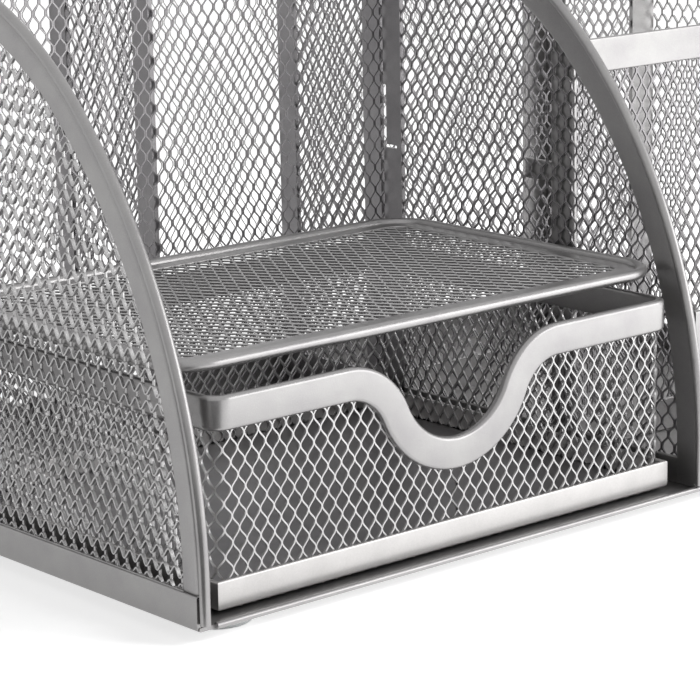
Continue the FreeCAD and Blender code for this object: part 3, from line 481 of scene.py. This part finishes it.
# %% Middle panel frame
middle_x = (middle_low[0] + middle_high[0]) / 2
WALL = 1.2                                        # a wall's frame, two sheets and the mesh
POST = 6.0                                        # width of posts and folded ends
TAB_LEVEL, TAB_HIGH = 61.0, 4.5                   # locking tabs above the floor
SLIT_Z, SLIT_HALF, SLIT_DEEP = FLOOR + TAB_LEVEL + TAB_HIGH / 2, 0.45, 4.5
SLOT_WIDE, SLOT_RISE = 0.9, 14.5
wall_y = middle_high[1]
shells = panel_frame(middle_x, 1, wall_y, FLOOR + 0.8, (WALL / 2, -WALL / 2))
cut_low, cut_high = SLIT_Z - SLIT_HALF, SLIT_Z + SLIT_HALF
slot_top, post_top = SLIT_Z + SLOT_RISE, TOP - 3.0
post = np.array([(POST, FLOOR), (0, FLOOR), (0, cut_low), (SLIT_DEEP, cut_low),
                 (SLIT_DEEP, cut_high), (SLOT_WIDE, cut_high), (SLOT_WIDE, slot_top),
                 (0, slot_top), (0, post_top), (POST, post_top)])
half = WALL / 2 - TUCKED
add_piece("middle_front_rolled_frame", joined(shells), strip_lacquer, "carcass",
          ["middle_front_frame"])
# The post gets the lacquer with painted shade, darker for the shade it stands in.
add_piece("middle_front_post",
          carried(post * [-1, 1], [[middle_x - half, wall_y, 0], [middle_x + half, wall_y, 0]],
                  [[0, 1, 0]] * 2, [[0, 0, 1]] * 2),
          painted_shade_lacquer, "carcass", ["middle_front_frame"])

# %% [markdown]
# ## Shelf rim
#
# The shelf is pressed from one sheet: a bead round the outside, then a groove and a flat
# strip that holds the mesh.  It is the panel's section again, lying down, carried round a
# rounded rectangle.

# %% Shelf rim
shelf_low, shelf_high = span("shelf_rim")
shelf_z = (shelf_low[2] + shelf_high[2]) / 2
SHELF_CORNER, SHELF_BEAD, SHELF_STRIP = 11.0, 1.2, 7.1
wide, deep = (shelf_high - shelf_low)[:2] - 2 * SHELF_CORNER
quarter = np.pi * SHELF_CORNER / 2
stops = np.cumsum([0, wide / 2, quarter, deep, quarter, wide, quarter, deep, quarter])
turns = np.linspace(0, quarter, 13)
steps = np.unique(np.concatenate([stops] + [stops[i] + turns for i in (1, 3, 5, 7)]).round(6))
ring, out = round_ring(steps, shelf_low[:2], shelf_high[:2], SHELF_CORNER, SHELF_BEAD)
path = np.column_stack([ring, np.full(len(ring), shelf_z)])
across = np.column_stack([-out, np.zeros(len(ring))])
up = np.tile([0.0, 0.0, 1.0], (len(ring), 1))
add_piece("shelf_pressed_rim",
          carried(beaded_strip(0.4, -0.4, SHELF_STRIP - SHELF_BEAD, groove=0.35,
                               bead=SHELF_BEAD), path, across, up, closed=True),
          strip_lacquer, "carcass", ["shelf_rim"])

# %% [markdown]
# ## Drawer rim
#
# The drawer's rim is a flat band folded over the mesh, 6.7 mm wide, that dips into a finger
# notch in front.  Its two edges stay the same distance apart through the notch, so the
# band is worked out unrolled: a centre line of shoulder arc, bowl arc and shoulder arc,
# with the section set square to it.  Each point's distance along the unrolled wall is then
# wrapped round the drawer's plan.

# %% Drawer rim
rim_low, rim_high = span("drawer_rim")
RIM_R, BAND, BAND_THICK = 4.4, 6.7, 2.0
NOTCH_HALF, NOTCH_DEEP, BOWL = 28.1, 18.5, 14.1
rim_top = rim_high[2]
SHOULDER = (NOTCH_HALF ** 2 + NOTCH_DEEP ** 2) / (2 * NOTCH_DEEP) - BOWL
shoulder_c = np.array([-NOTCH_HALF, rim_top - SHOULDER])
bowl_c = np.array([0.0, rim_top - NOTCH_DEEP + BOWL])
slope = np.degrees(np.arctan2(*(bowl_c - shoulder_c)[::-1]))


def notch_line():
    """Band's centre line (distance, height) through the notch, with its upward direction."""
    half = BAND / 2
    left = arc(shoulder_c, SHOULDER - half, 90, slope, 4)
    bowl = arc(bowl_c, BOWL + half, 180 + slope, 360 - slope, 4)
    right = (left * [-1, 1])[::-1]
    points = np.concatenate([left, bowl[1:-1], right])
    ups = np.concatenate([(left - shoulder_c) / (SHOULDER - half),
                          (bowl_c - bowl[1:-1]) / (BOWL + half),
                          (right - shoulder_c * [-1, 1]) / (SHOULDER - half)])
    return points, ups


line, ups = notch_line()
way = ring_length(rim_low[:2], rim_high[:2], RIM_R)
wide, deep = (rim_high - rim_low)[:2] - 2 * RIM_R
quarter = np.pi * RIM_R / 2
stops = np.cumsum([wide / 2, quarter, deep, quarter, wide, quarter, deep, quarter])
turns = np.linspace(0, quarter, 13)
steps = np.unique(np.concatenate([stops] + [stops[i] + turns for i in (0, 2, 4, 6)]).round(6))
level = np.column_stack([steps, np.full(len(steps), rim_top - BAND / 2)])
line = np.concatenate([line, level])
ups = np.concatenate([ups, np.tile([0.0, 1.0], (len(steps), 1))])
flat = rounded_box((-BAND / 2, 0), (BAND / 2, BAND_THICK), 0.85, 15)
p = line[:, None, 0] + flat[None, :, 0] * ups[:, None, 0]
z = line[:, None, 1] + flat[None, :, 0] * ups[:, None, 1]
plan, out = round_ring(p, rim_low[:2], rim_high[:2], RIM_R)
grid = np.concatenate([plan - out * flat[None, :, 1:], z[..., None]], -1)
n, m = grid.shape[:2]
i, j = np.meshgrid(np.arange(n), np.arange(m), indexing="ij")
k, l = (i + 1) % n, (j + 1) % m
quads = np.stack([i * m + j, i * m + l, k * m + l, k * m + j], -1).reshape(-1, 4)
add_piece("drawer_folded_rim", turned_outward(grid.reshape(-1, 3), [quads]), strip_lacquer,
          "drawer", ["drawer_rim"])
print("notch: shoulders %.2f mm, bowl %.1f mm" % (SHOULDER, BOWL))

# %% [markdown]
# ## Drawer pan and base tray
#
# Both are folded from 0.8 mm sheet: a floor with its edges bent up.  The upright edge is
# one section with a rounded fold at its foot, carried round the corners with mitres.  At a
# mitre the section is stretched by the square root of two, which is what the direction
# (1, 1) does.

# %% Folded pan
SHEET = 0.8
UNDER_EDGE = 0.75                                 # the floor ends inside the upright sheet


def folded_edge(height, fold=0.7, sheet=SHEET):
    """Section (inwards, up) of an upright edge: rounded fold below, rounded top."""
    return np.concatenate([arc((fold, fold), fold, 270, 180, 15),
                           arc((sheet / 2, height - sheet / 2), sheet / 2, 180, 0, 22.5),
                           [[sheet, sheet], [1.6, sheet], [1.6, 0.0]]])


pan_low, pan_high = span("drawer_pan")
corners = np.array([[pan_low[0], pan_low[1]], [pan_high[0], pan_low[1]],
                    [pan_high[0], pan_high[1]], [pan_low[0], pan_high[1]]])
inward = np.array([[1, 1], [-1, 1], [-1, -1], [1, -1]], float)
edge = carried(folded_edge(pan_high[2] - pan_low[2]),
               np.column_stack([corners, np.full(4, pan_low[2])]),
               np.column_stack([inward, np.zeros(4)]), np.tile([0.0, 0, 1], (4, 1)),
               closed=True)
floor = bar((pan_low[0] + UNDER_EDGE, pan_low[1] + UNDER_EDGE, pan_low[2]),
            (pan_high[0] - UNDER_EDGE, pan_high[1] - UNDER_EDGE, pan_low[2] + SHEET), 0, 0.05)
# The pan's edge gets a painted highlight, its floor a painted shade.
add_piece("drawer_pan_folded_edge", edge, painted_light_pan_lacquer, "drawer", ["drawer_pan"])
add_piece("drawer_pan_floor", floor, painted_shade_lacquer, "drawer", ["drawer_pan"])

# %% [markdown]
# The tray's flanges stand outside the panels, and are one edge folded round three sides.
# Its front edge is rolled into a round lip, which stops short of the panels' beads, and
# there the sheet's cut edge shows.

# %% Base tray
LIP_HALF, LIP, SETBACK = 110.0, 1.3, 2.2
x, front, rear = tray_high[0], tray_low[1], tray_high[1]
under = tray_low[2]
flange_front = FRONT + SETBACK
corners = np.array([[-x, flange_front], [-x, rear], [x, rear], [x, flange_front]])
inward = np.array([[1, 0], [1, -1], [-1, -1], [-1, 0]], float)
flange = carried(folded_edge(tray_high[2] - under),
                 np.column_stack([corners, np.full(4, under)]),
                 np.column_stack([inward, np.zeros(4)]), np.tile([0.0, 0, 1], (4, 1)))
floor = bar((-x + 0.3, front + 1.0, under), (x - 0.3, rear - UNDER_EDGE, under + SHEET),
            1, 0.35)
lip = bar((-LIP_HALF, front, under), (LIP_HALF, front + LIP, under + LIP), 0, 0.6)
add_piece("folded_base_tray", joined([flange, floor, lip]), strip_lacquer, "carcass",
          ["base_tray"])

# %% [markdown]
# ## Cross wall frame
#
# The wall across the right section has its two ends folded back along the panels.  The
# mesh runs right up to the fold, so in front there is a strip only above and below.  Each
# folded end has a locking tab.

# %% Cross wall frame
low, high = span("cross_wall_frame")
net_low, net_high = span("cross_wall_mesh")
to_fold = net_low[0] - low[0] - WALL              # from the CAD mesh's side on to the fold
folded = low[1] + WALL + POST
shells = [bar(low, (high[0], low[1] + WALL, net_low[2]), 0, 0.4),
          bar((low[0], low[1], net_high[2]), (high[0], low[1] + WALL, high[2]), 0, 0.4)]
for x in (low[0], high[0] - WALL):
    shells.append(bar((x + TUCKED, low[1] + TUCKED, low[2] + TUCKED),
                      (x + WALL - TUCKED, folded, high[2] - 0.3), 2, 0.4))
    shells.append(bar((x + 2 * TUCKED, folded - POST / 2, low[2] + TAB_LEVEL),
                      (x + WALL - 2 * TUCKED, high[1], low[2] + TAB_LEVEL + TAB_HIGH), 1, 0.4))
add_piece("cross_wall_folded_frame", joined(shells), strip_lacquer, "carcass",
          ["cross_wall_frame"])
print("cross wall, mm:", low.round(2), high.round(2))

# %% [markdown]
# ## Expanded mesh
#
# The mesh is expanded metal: rows of slits are cut into a sheet, and the sheet is pulled
# until the slits open into diamonds.  What is left between two rows of slits is a strand
# that runs in a zigzag, and where neighbouring strands touch they are still one piece of
# steel, the knuckle.  An image with holes could stand for it, but near the camera each
# strand shows its lit edge and its darker side, so every strand is a real one.
#
# One row is a zigzag line with a flat, four-sided section, since a strand is a narrow
# ribbon of the sheet, and a whole mesh is one array: rows by steps by corners of the
# section.  Alternate rows are shifted by half a diamond.  Points outside the frame's
# window are left out, and each strand's end is closed with a face, a little way inside
# the strip.

# %% Strand helpers
SIDES = 4                                         # corners of a strand's section


def zigzag(turn, plateau):
    """Triangle wave with flattened tops: x / (1 + |x|^6)^(1/6) of plateau times the wave."""
    x = plateau * np.arcsin(np.sin(turn) * 0.999) * 2 / np.pi
    return x / (1 + np.abs(x) ** 6) ** (1 / 6) / (plateau / (1 + plateau ** 6) ** (1 / 6))


def strand_rows(along, across, pitch, row, window, place, plateau=1.3, width=0.5, depth=0.5,
                lean=0.0, meet=0.2, twist=0.0, steps=8, tuck=1.2):
    """Rows of zigzag strands, as one shell.

    along and across are the sheet's ranges, pitch a diamond's length along the rows, row
    the distance between rows.  Strand r at s along: across = c_r + A zigzag(2 pi (s / pitch
    + r / 2)), with A = (row - meet) / 2, so that at a knuckle the middle lines of two rows
    are meet apart.  The section's corners lie on an ellipse of width by depth, turned by
    twist degrees, and under the frame it is pressed to a third of its depth.  The normal
    distance is lean times the same wave.  window(s, c) is the distance into the window,
    strands end tuck outside it, and place(s, c, n) gives X, Y, Z.
    """
    count = int(np.floor((across[1] - across[0]) / row)) + 2
    periods = int(np.ceil((along[1] - along[0]) / pitch)) + 2
    s = along[0] - pitch + np.arange(periods * steps + 1) * pitch / steps
    turn = 2 * np.pi * ((s[None, :] - along[0]) / pitch + (np.arange(count) % 2)[:, None] / 2)
    size = (row - meet) / 2
    wave = zigzag(turn, plateau)
    c = across[0] + np.arange(count)[:, None] * row + size * wave
    fine = 1e-3
    slope = size * (zigzag(turn + fine, plateau) - zigzag(turn - fine, plateau)) / (
        2 * fine) * 2 * np.pi / pitch
    length = np.sqrt(1 + slope ** 2)
    corner = 2 * np.pi * (np.arange(SIDES) + 0.5) / SIDES
    a, b = width / 2 * np.cos(corner), depth / 2 * np.sin(corner)
    turn_a, turn_b = np.cos(np.radians(twist)), np.sin(np.radians(twist))
    a, b = a * turn_a - b * turn_b, a * turn_b + b * turn_a
    inside = window(s[None, :] + 0 * c, c)
    pressed = np.clip(inside + 1.0, 0.35, 1.0)
    points = place(s[None, :, None] - (slope / length)[..., None] * a,
                   c[..., None] + (1 / length)[..., None] * a,
                   (lean * wave * pressed)[..., None] + b * pressed[..., None])
    keep = inside > -tuck
    none = np.zeros((count, 1), bool)
    join = keep & np.concatenate([keep[:, 1:], none], 1)
    before = np.concatenate([none, join[:, :-1]], 1)
    index = np.arange(points[..., 0].size).reshape(count, len(s), SIDES)
    following, turned = np.roll(index, -1, 1), np.roll(index, -1, 2)
    quads = np.stack([index, turned, np.roll(following, -1, 2), following], -1)
    ends = [index[join & ~before][:, ::-1], index[before & ~join]]
    return trimmed(points.reshape(-1, 3), [quads[join].reshape(-1, 4)] + ends)


def knuckles(along, across, pitch, row, window, place, size, level):
    """Small plates where two rows meet, size (along, across, deep), at normal distance level.

    Plate k of rows r and r + 1 stands at s = pitch (k + 1 / 4 + r / 2), c = c_r + row / 2.
    """
    count = int(np.floor((across[1] - across[0]) / row)) + 2
    periods = int(np.ceil((along[1] - along[0]) / pitch)) + 2
    r, k = np.meshgrid(np.arange(count), np.arange(periods) - 1, indexing="ij")
    s = along[0] + pitch * (k + 0.25 + (r % 2) / 2)
    c = across[0] + (r + 0.5) * row
    keep = window(s, c) > 0.2
    s, c = s[keep][:, None], c[keep][:, None]
    corner = np.array([(-1, -1, -1), (1, -1, -1), (1, 1, -1), (-1, 1, -1),
                       (-1, -1, 1), (1, -1, 1), (1, 1, 1), (-1, 1, 1)]) / 2.0 * size
    points = place(s + corner[:, 0], c + corner[:, 1], level + corner[:, 2] + 0 * s)
    sides = np.array([(0, 3, 2, 1), (4, 5, 6, 7), (0, 1, 5, 4), (1, 2, 6, 5), (2, 3, 7, 6),
                      (3, 0, 4, 7)])
    quads = (np.arange(len(s))[:, None, None] * 8 + sides).reshape(-1, 4)
    return turned_outward(points.reshape(-1, 3), [quads])


def trimmed(points, faces):
    """A shell without the points that no face uses."""
    used = np.zeros(len(points), bool)
    for group in faces:
        used[group.ravel()] = True
    new = np.cumsum(used) - 1
    return turned_outward(points[used], [new[group] for group in faces])


def box_window(low, high):
    """Distance into a rectangle: the smallest distance to its four sides."""
    return lambda s, c: np.minimum(np.minimum(s - low[0], high[0] - s),
                                   np.minimum(c - low[1], high[1] - c))


print("zigzag at its top: %.3f" % zigzag(np.array(np.pi / 2), 1.3))

# %% [markdown]
# ### Mesh of the curved panels
#
# The window of a curved panel has no corners in front, so the distance into it is measured
# to the nearest of the two arcs, the upright, the top, the rear and the foot.
#
# On the outer panels the ribbons stand on edge, so seen along the panel their flat sides
# show.  Their knuckles are wide, and each one is a small plate between two rows, set in
# from the middle of the sheet.

# %% Curved windows
def curved_window(rear):
    """Distance (Y, Z) into a curved panel's window.

    Below the 45 degree line through the arcs' centres the front is LOWER_R away from its
    centre, above it UPPER_R; under the curve's start and behind its end it is straight.
    """
    def window(y, z):
        lower = LOWER_R - np.hypot(y - LOWER_C[0], z - LOWER_C[1])
        upper = UPPER_R - np.hypot(y - UPPER_C[0], z - UPPER_C[1])
        edge = np.where(y - UPPER_C[0] + z - UPPER_C[1] < 0, lower, upper)
        edge = np.where(z < CURVE_START, y - FRONT, edge)
        edge = np.where(y > CURVE_END, TOP - z, edge)
        return np.minimum(np.minimum(edge - STRIP, rear - y), z - FLANGE_TOP)
    return window


mesh_low, mesh_high = span("left_panel_mesh")
mesh_x = (mesh_low[0] + mesh_high[0]) / 2
SIDE_PITCH, SIDE_ROW = 3.47, 3.05
print("left window: Y %.1f to %.1f" % (mesh_low[1], mesh_high[1]))

# %% Side panel mesh
for name, side in (("left_panel_mesh", -1), ("right_panel_mesh", 1)):
    def place(y, z, n):
        """Upright sheet: n is the distance outwards from the mesh's middle."""
        return np.stack([side * (abs(mesh_x) + n + 0 * y), y + 0 * n, z + 0 * n], -1)
    sheet = (mesh_low[1], mesh_high[1]), (FLANGE_TOP, TOP - STRIP), SIDE_PITCH, SIDE_ROW
    window = curved_window(mesh_high[1])
    shell = joined([
        strand_rows(*sheet, window, place, plateau=1.4, width=0.45, depth=0.95,
                    lean=-0.1, meet=1.2, steps=10),
        knuckles(*sheet, window, place, (0.55, 1.35, 0.3), -0.3)])
    add_piece(name.replace("mesh", "expanded_mesh"), shell, net_lacquer, "carcass",
              [name], 60)

# %% Middle panel mesh
MIDDLE_PITCH, MIDDLE_ROW = 5.6, 1.85
front_low, front_high = span("middle_front_mesh")
shell = strand_rows(
    (FLANGE_TOP, TOP - STRIP), (front_low[1], front_high[1]), MIDDLE_PITCH, MIDDLE_ROW,
    lambda z, y: curved_window(front_high[1])(y, z),
    lambda z, y, n: np.stack([middle_x + n + 0 * y, y + 0 * n, z + 0 * n], -1),
    plateau=1.9, width=0.58, meet=0.15)
# The middle panel's mesh gets the lacquer with painted shade.
add_piece("middle_front_expanded_mesh", shell, painted_shade_lacquer, "carcass",
          ["middle_front_mesh"], 60)

# %% [markdown]
# ### Mesh of the straight walls
#
# Here the diamonds stand upright, so the rows run up and down, one every half diamond.

# %% Straight wall mesh
WALL_PITCH, WALL_ROW = 5.2, 1.66


def wall_mesh(node, flat_axis, finish=net_lacquer, wider=0.0, **look):
    """Upright strands in the box of a wall's mesh node; flat_axis is its thin direction.

    wider moves the left and right edge outwards, where the mesh runs on up to a fold.
    """
    low, high = span(node)
    u = 1 - flat_axis
    low[u], high[u] = low[u] - wider, high[u] + wider
    middle = (low[flat_axis] + high[flat_axis]) / 2

    def place(z, c, n):
        point = [c + 0 * n, c + 0 * n, z + 0 * n]
        point[flat_axis] = middle + n + 0 * c
        return np.stack(point, -1)
    shell = strand_rows((low[2], high[2]), (low[u], high[u]), WALL_PITCH, WALL_ROW,
                        box_window((low[2], low[u]), (high[2], high[u])), place, **look)
    return add_piece(node.replace("mesh", "expanded_mesh"), shell, finish, "carcass",
                     [node], 60)


# The walls inside get the lacquer with painted shade; the back wall and the low front wall keep
# the outer meshes' shade.
wall_mesh("inner_wall_mesh", 1, painted_shade_lacquer, plateau=2.2, width=0.44, depth=0.4,
          meet=0.35)
wall_mesh("back_wall_mesh", 1, width=0.26, depth=0.3, steps=6)
wall_mesh("middle_rear_mesh", 0, painted_shade_lacquer, lean=0.05, steps=6)
wall_mesh("divider_mesh", 0, painted_shade_lacquer, lean=0.05, steps=6)
wall_mesh("cross_wall_mesh", 1, painted_shade_lacquer, to_fold, width=0.6, depth=0.5, steps=6,
          tuck=0.6)
wall_mesh("low_front_wall_mesh", 1, width=0.6, depth=0.5, steps=6)

# %% [markdown]
# ### Mesh of the shelf and of the drawer
#
# On the shelf the diamonds lie with their long axis from front to back.  The drawer's mesh
# goes round the drawer in one strip, so the distance across its rows is wrapped round the
# drawer's plan, and the strands end under the rim, which dips at the notch.

# %% Shelf mesh
SHELF_PITCH, SHELF_ROW = 5.4, 1.6
low, high = span("shelf_mesh")


def shelf_window(y, x):
    """Distance into the window, a rounded rectangle one strip inside the shelf's edge."""
    r = SHELF_CORNER - SHELF_STRIP
    dx = np.maximum(low[0] + r - x, x - high[0] + r)
    dy = np.maximum(low[1] + r - y, y - high[1] + r)
    outside = np.hypot(np.maximum(dx, 0), np.maximum(dy, 0))
    return r - outside - np.minimum(np.maximum(dx, dy), 0)


shell = strand_rows((low[1], high[1]), (low[0], high[0]), SHELF_PITCH, SHELF_ROW,
                    shelf_window,
                    lambda y, x, n: np.stack([x + 0 * n, y + 0 * n, shelf_z + n + 0 * x], -1),
                    plateau=1.6, width=0.42, depth=0.5, twist=30.0)
add_piece("shelf_expanded_mesh", shell, net_lacquer, "carcass", ["shelf_mesh"], 60)

# %% Drawer mesh
NET_IN = 1.7                                      # middle of the mesh inside the rim's face
net_low, net_high = rim_low[:2] + NET_IN, rim_high[:2] - NET_IN
net_r = RIM_R - NET_IN
way = ring_length(net_low, net_high, net_r)
ROWS = 2 * 125                                    # even: row 250, drawn too, falls on row 0
DRAWER_PITCH = 5.18
drawer_floor = pan_low[2] + SHEET


def under_band(z, p):
    """Distance from a point of the unrolled wall to the rim band above it.

    Outside the notch it is the height below the band; under the shoulders and the bowl it
    is the radial distance to the band's lower arc.
    """
    d = np.abs(np.mod(p + way / 2, way) - way / 2)
    shoulder = (SHOULDER - BAND) - np.hypot(d - NOTCH_HALF, z - shoulder_c[1])
    bowl = np.hypot(d, z - bowl_c[1]) - (BOWL + BAND)
    tilt = np.degrees(np.arctan2(z - shoulder_c[1], NOTCH_HALF - d))
    notch = np.where((tilt > slope) & (z > shoulder_c[1]), shoulder, bowl)
    top = np.where(d < NOTCH_HALF, notch, rim_top - BAND - z)
    return np.minimum(top, z - drawer_floor)


def wrapped(z, p, n):
    """Wrap the unrolled wall round the drawer: n is the distance outwards."""
    plan, out = round_ring(p + 0 * n, net_low, net_high, net_r)
    return np.concatenate([plan + out * (n + 0 * p)[..., None], (z + 0 * n)[..., None]], -1)


shell = strand_rows((drawer_floor, rim_top - BAND), (0, way - 1e-6),
                    DRAWER_PITCH, way / ROWS, under_band, wrapped, plateau=1.45, width=0.44,
                    depth=0.6, lean=0.03, meet=0.12, steps=10, tuck=1.5)
add_piece("drawer_expanded_mesh", shell, net_lacquer, "drawer", ["drawer_mesh"], 60)

# %% [markdown]
# ## Feet
#
# Each foot is a round pad, moulded with soft edges and pressed on under the tray.  Turning a
# profile round an upright axis gives it.

# %% Feet
FOOT_ROUND, FOOT_BRIM = 0.9, 0.3                  # edge radii below and above


def turned(profile, centre, count=64):
    """Turn a profile (radius, height) round an upright axis, with a flat face on each end."""
    path = np.column_stack([np.tile(centre, (len(profile), 1)), profile[:, 1]])
    ring = arc((0, 0), 1.0, 0, 360, 360 / count)[:-1]
    size = profile[:, :1]
    return carried(ring, path, size * [[1.0, 0, 0]], size * [[0, 1.0, 0]])


for name in ("front_left_foot", "front_right_foot", "rear_left_foot", "rear_right_foot"):
    low, high = span(name)
    r = (high[0] - low[0]) / 2
    profile = np.concatenate([
        arc((r - FOOT_ROUND, low[2] + FOOT_ROUND), FOOT_ROUND, -90, 0, 15),
        arc((r - FOOT_BRIM, high[2] - FOOT_BRIM), FOOT_BRIM, 0, 90, 30)])
    add_piece(name.replace("foot", "moulded_foot"), turned(profile, (low + high)[:2] / 2),
              silicone, "carcass", [name])

# %% [markdown]
# ## Finishes on the CAD pieces
#
# The runners and the frames of the straight walls keep their CAD surfaces, except the cross
# wall's, which is drawn above.  The frames of the divider and of the middle panel's rear
# half are inside, between meshes with painted shade, and get the painted shade too, the
# lacquer darkened for the light that falls less there.

# %% Finish the kept nodes
for name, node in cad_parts.items():
    kind = name.split("_")[-1]
    finish = {"foot": silicone, "mesh": net_lacquer}.get(kind, strip_lacquer)
    # The two inner frames get the lacquer with painted shade.
    if name in ("divider_frame", "middle_rear_frame"):
        finish = painted_shade_lacquer
    node.data.materials.clear()
    node.data.materials.append(finish)
print("finished", len(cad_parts), "CAD nodes")

# %% [markdown]
# ## Studio
#
# A white room: the camera and the lacquer both see white paper and a white sky.  That white
# is a glow that only camera, mirror and glass rays meet, so the organizer itself is lit
# plainly, by a weak sky and three soft lamps, and the paper still takes its shadow.

# %% World
def shown(tree):
    """1 for camera, mirror and glass rays and 0 for all others, as a socket."""
    rays = add_node(tree, "ShaderNodeLightPath")
    two = add_node(tree, "ShaderNodeMath", {
        0: rays.outputs["Is Camera Ray"], 1: rays.outputs["Is Glossy Ray"]}, operation="ADD")
    return add_node(tree, "ShaderNodeMath", {
        0: two.outputs["Value"], 1: rays.outputs["Is Transmission Ray"]},
        operation="ADD", use_clamp=True).outputs["Value"]


world = bpy.data.worlds.new("white_room")
bpy.context.scene.world = world
world.use_nodes = True
tree = world.node_tree
tree.nodes.clear()
SKY_LIGHT = 0.32                                  # strength for rays that only bring light
strength = add_node(tree, "ShaderNodeMapRange", {
    "Value": shown(tree), "To Min": SKY_LIGHT, "To Max": 1.0})
sky = add_node(tree, "ShaderNodeBackground", {
    "Color": (1, 1, 1, 1), "Strength": strength.outputs["Result"]})
add_node(tree, "ShaderNodeOutputWorld", {"Surface": sky.outputs["Background"]})
print("sky: 1 where it is seen, %.2f as light" % SKY_LIGHT)


# %% Floor
GLOW = 0.66                                       # of the paper round the organizer


def paper_floor():
    """White paper that also glows for camera, mirror and glass rays.

    The glow is GLOW round the organizer and rises to 1 between 0.5 m and 1.3 m from it, so
    that the paper is white to its far end and still takes a shadow.
    """
    finish, tree, out = new_finish("white_paper")
    place = add_node(tree, "ShaderNodeTexCoord").outputs["Object"]
    away = add_node(tree, "ShaderNodeVectorMath", {0: place}, operation="LENGTH")
    glow = add_node(tree, "ShaderNodeMapRange", {
        "Value": away.outputs["Value"], "From Min": 0.5, "From Max": 1.3,
        "To Min": GLOW, "To Max": 1.0}, interpolation_type="SMOOTHSTEP")
    glow = add_node(tree, "ShaderNodeMath", {0: shown(tree), 1: glow.outputs["Result"]},
                    operation="MULTIPLY")
    shader = add_node(tree, "ShaderNodeBsdfPrincipled", {
        "Base Color": linear("#D8D8D8"), "Roughness": 0.9, "Specular IOR Level": 0.0,
        "Emission Color": (1, 1, 1, 1), "Emission Strength": glow.outputs["Value"]})
    tree.links.new(shader.outputs["BSDF"], out.inputs["Surface"])
    return finish


def flat_sheet(name, corners, level, finish):
    """A stage sheet with four corners (X, Y), in millimetres, at one level."""
    mesh = bpy.data.meshes.new(name)
    mesh.from_pydata(np.column_stack([corners, np.full(4, level)]) * MM, [], [(0, 1, 2, 3)])
    mesh.materials.append(finish)
    sheet = bpy.data.objects.new(name, mesh)
    bpy.context.scene.collection.objects.link(sheet)
    return sheet


PAPER = 4000.0                                    # middle of the paper to its edge
flat_sheet("floor", np.array([(-1, -1), (1, -1), (1, 1), (-1, 1)]) * PAPER, 0.0, paper_floor())
print("paper: %.0f m wide" % (2 * PAPER * MM))

# %% [markdown]
# ### Grey card
#
# In a room of pure white, metal looks flat, because every face of it mirrors the same
# white.  A studio puts grey cards beside it, which show as darker bands in beads and
# rounded corners.  One lies here in front and to the left, a millimetre above the paper,
# and only mirror rays meet it, so the paper itself looks bare.

# %% Grey card
CARD_GLOW = 0.15
CARD = np.array([(-118, -76), (-1420, 500), (-1600, -1600), (-480, -1530)])
finish, tree, out = new_finish("grey_card")
shade = add_node(tree, "ShaderNodeEmission", {"Color": (1, 1, 1, 1), "Strength": CARD_GLOW})
tree.links.new(shade.outputs["Emission"], out.inputs["Surface"])
card = flat_sheet("grey_card", CARD, 1.0, finish)
card.visible_camera = card.visible_diffuse = card.visible_shadow = False
card.visible_transmission = False
print("grey card, mm:", np.ptp(CARD, axis=0))

# %% [markdown]
# ### Lamps
#
# Three soft lamps light the organizer.  The key stands at the front right, the second hangs
# over the paper there, and the third hangs over the whole.  Only the key shows in the
# lacquer: the other two are hidden from mirror rays, so they mostly light the paper and
# leave no bright patch on the steel.  Real lamps can't do that, nor can real paper glow
# for camera and mirror rays alone.

# %% Lamps
def soft_lamp(name, at, aim, width, height, watts, mirrored=True):
    """Area lamp at a place, in millimetres, that faces the point aim."""
    data = bpy.data.lights.new(name, "AREA")
    data.shape, data.size, data.size_y, data.energy = "RECTANGLE", width * MM, height * MM, watts
    lamp = bpy.data.objects.new(name, data)
    back = np.asarray(at, float) - aim
    back /= np.linalg.norm(back)
    side = np.cross([0, 0, 1.0], back)
    side /= np.linalg.norm(side)
    turn = np.eye(4)
    turn[:3, 0], turn[:3, 1], turn[:3, 2] = side, np.cross(back, side), back
    turn[:3, 3] = np.asarray(at) * MM
    lamp.matrix_world = Matrix(turn.tolist())
    lamp.visible_glossy = mirrored
    bpy.context.scene.collection.objects.link(lamp)
    return lamp


lamps = [soft_lamp("key", (680, -820, 340), (0, -40, 30), 800, 520, 4.5),
         soft_lamp("front", (330, -420, 420), (240, -330, 0), 420, 420, 9.0, False),
         soft_lamp("top", (0, 0, 1300), (0, 0, 0), 1200, 1200, 7.0, False)]
print("lamps, W:", {lamp.name: lamp.data.energy for lamp in lamps})
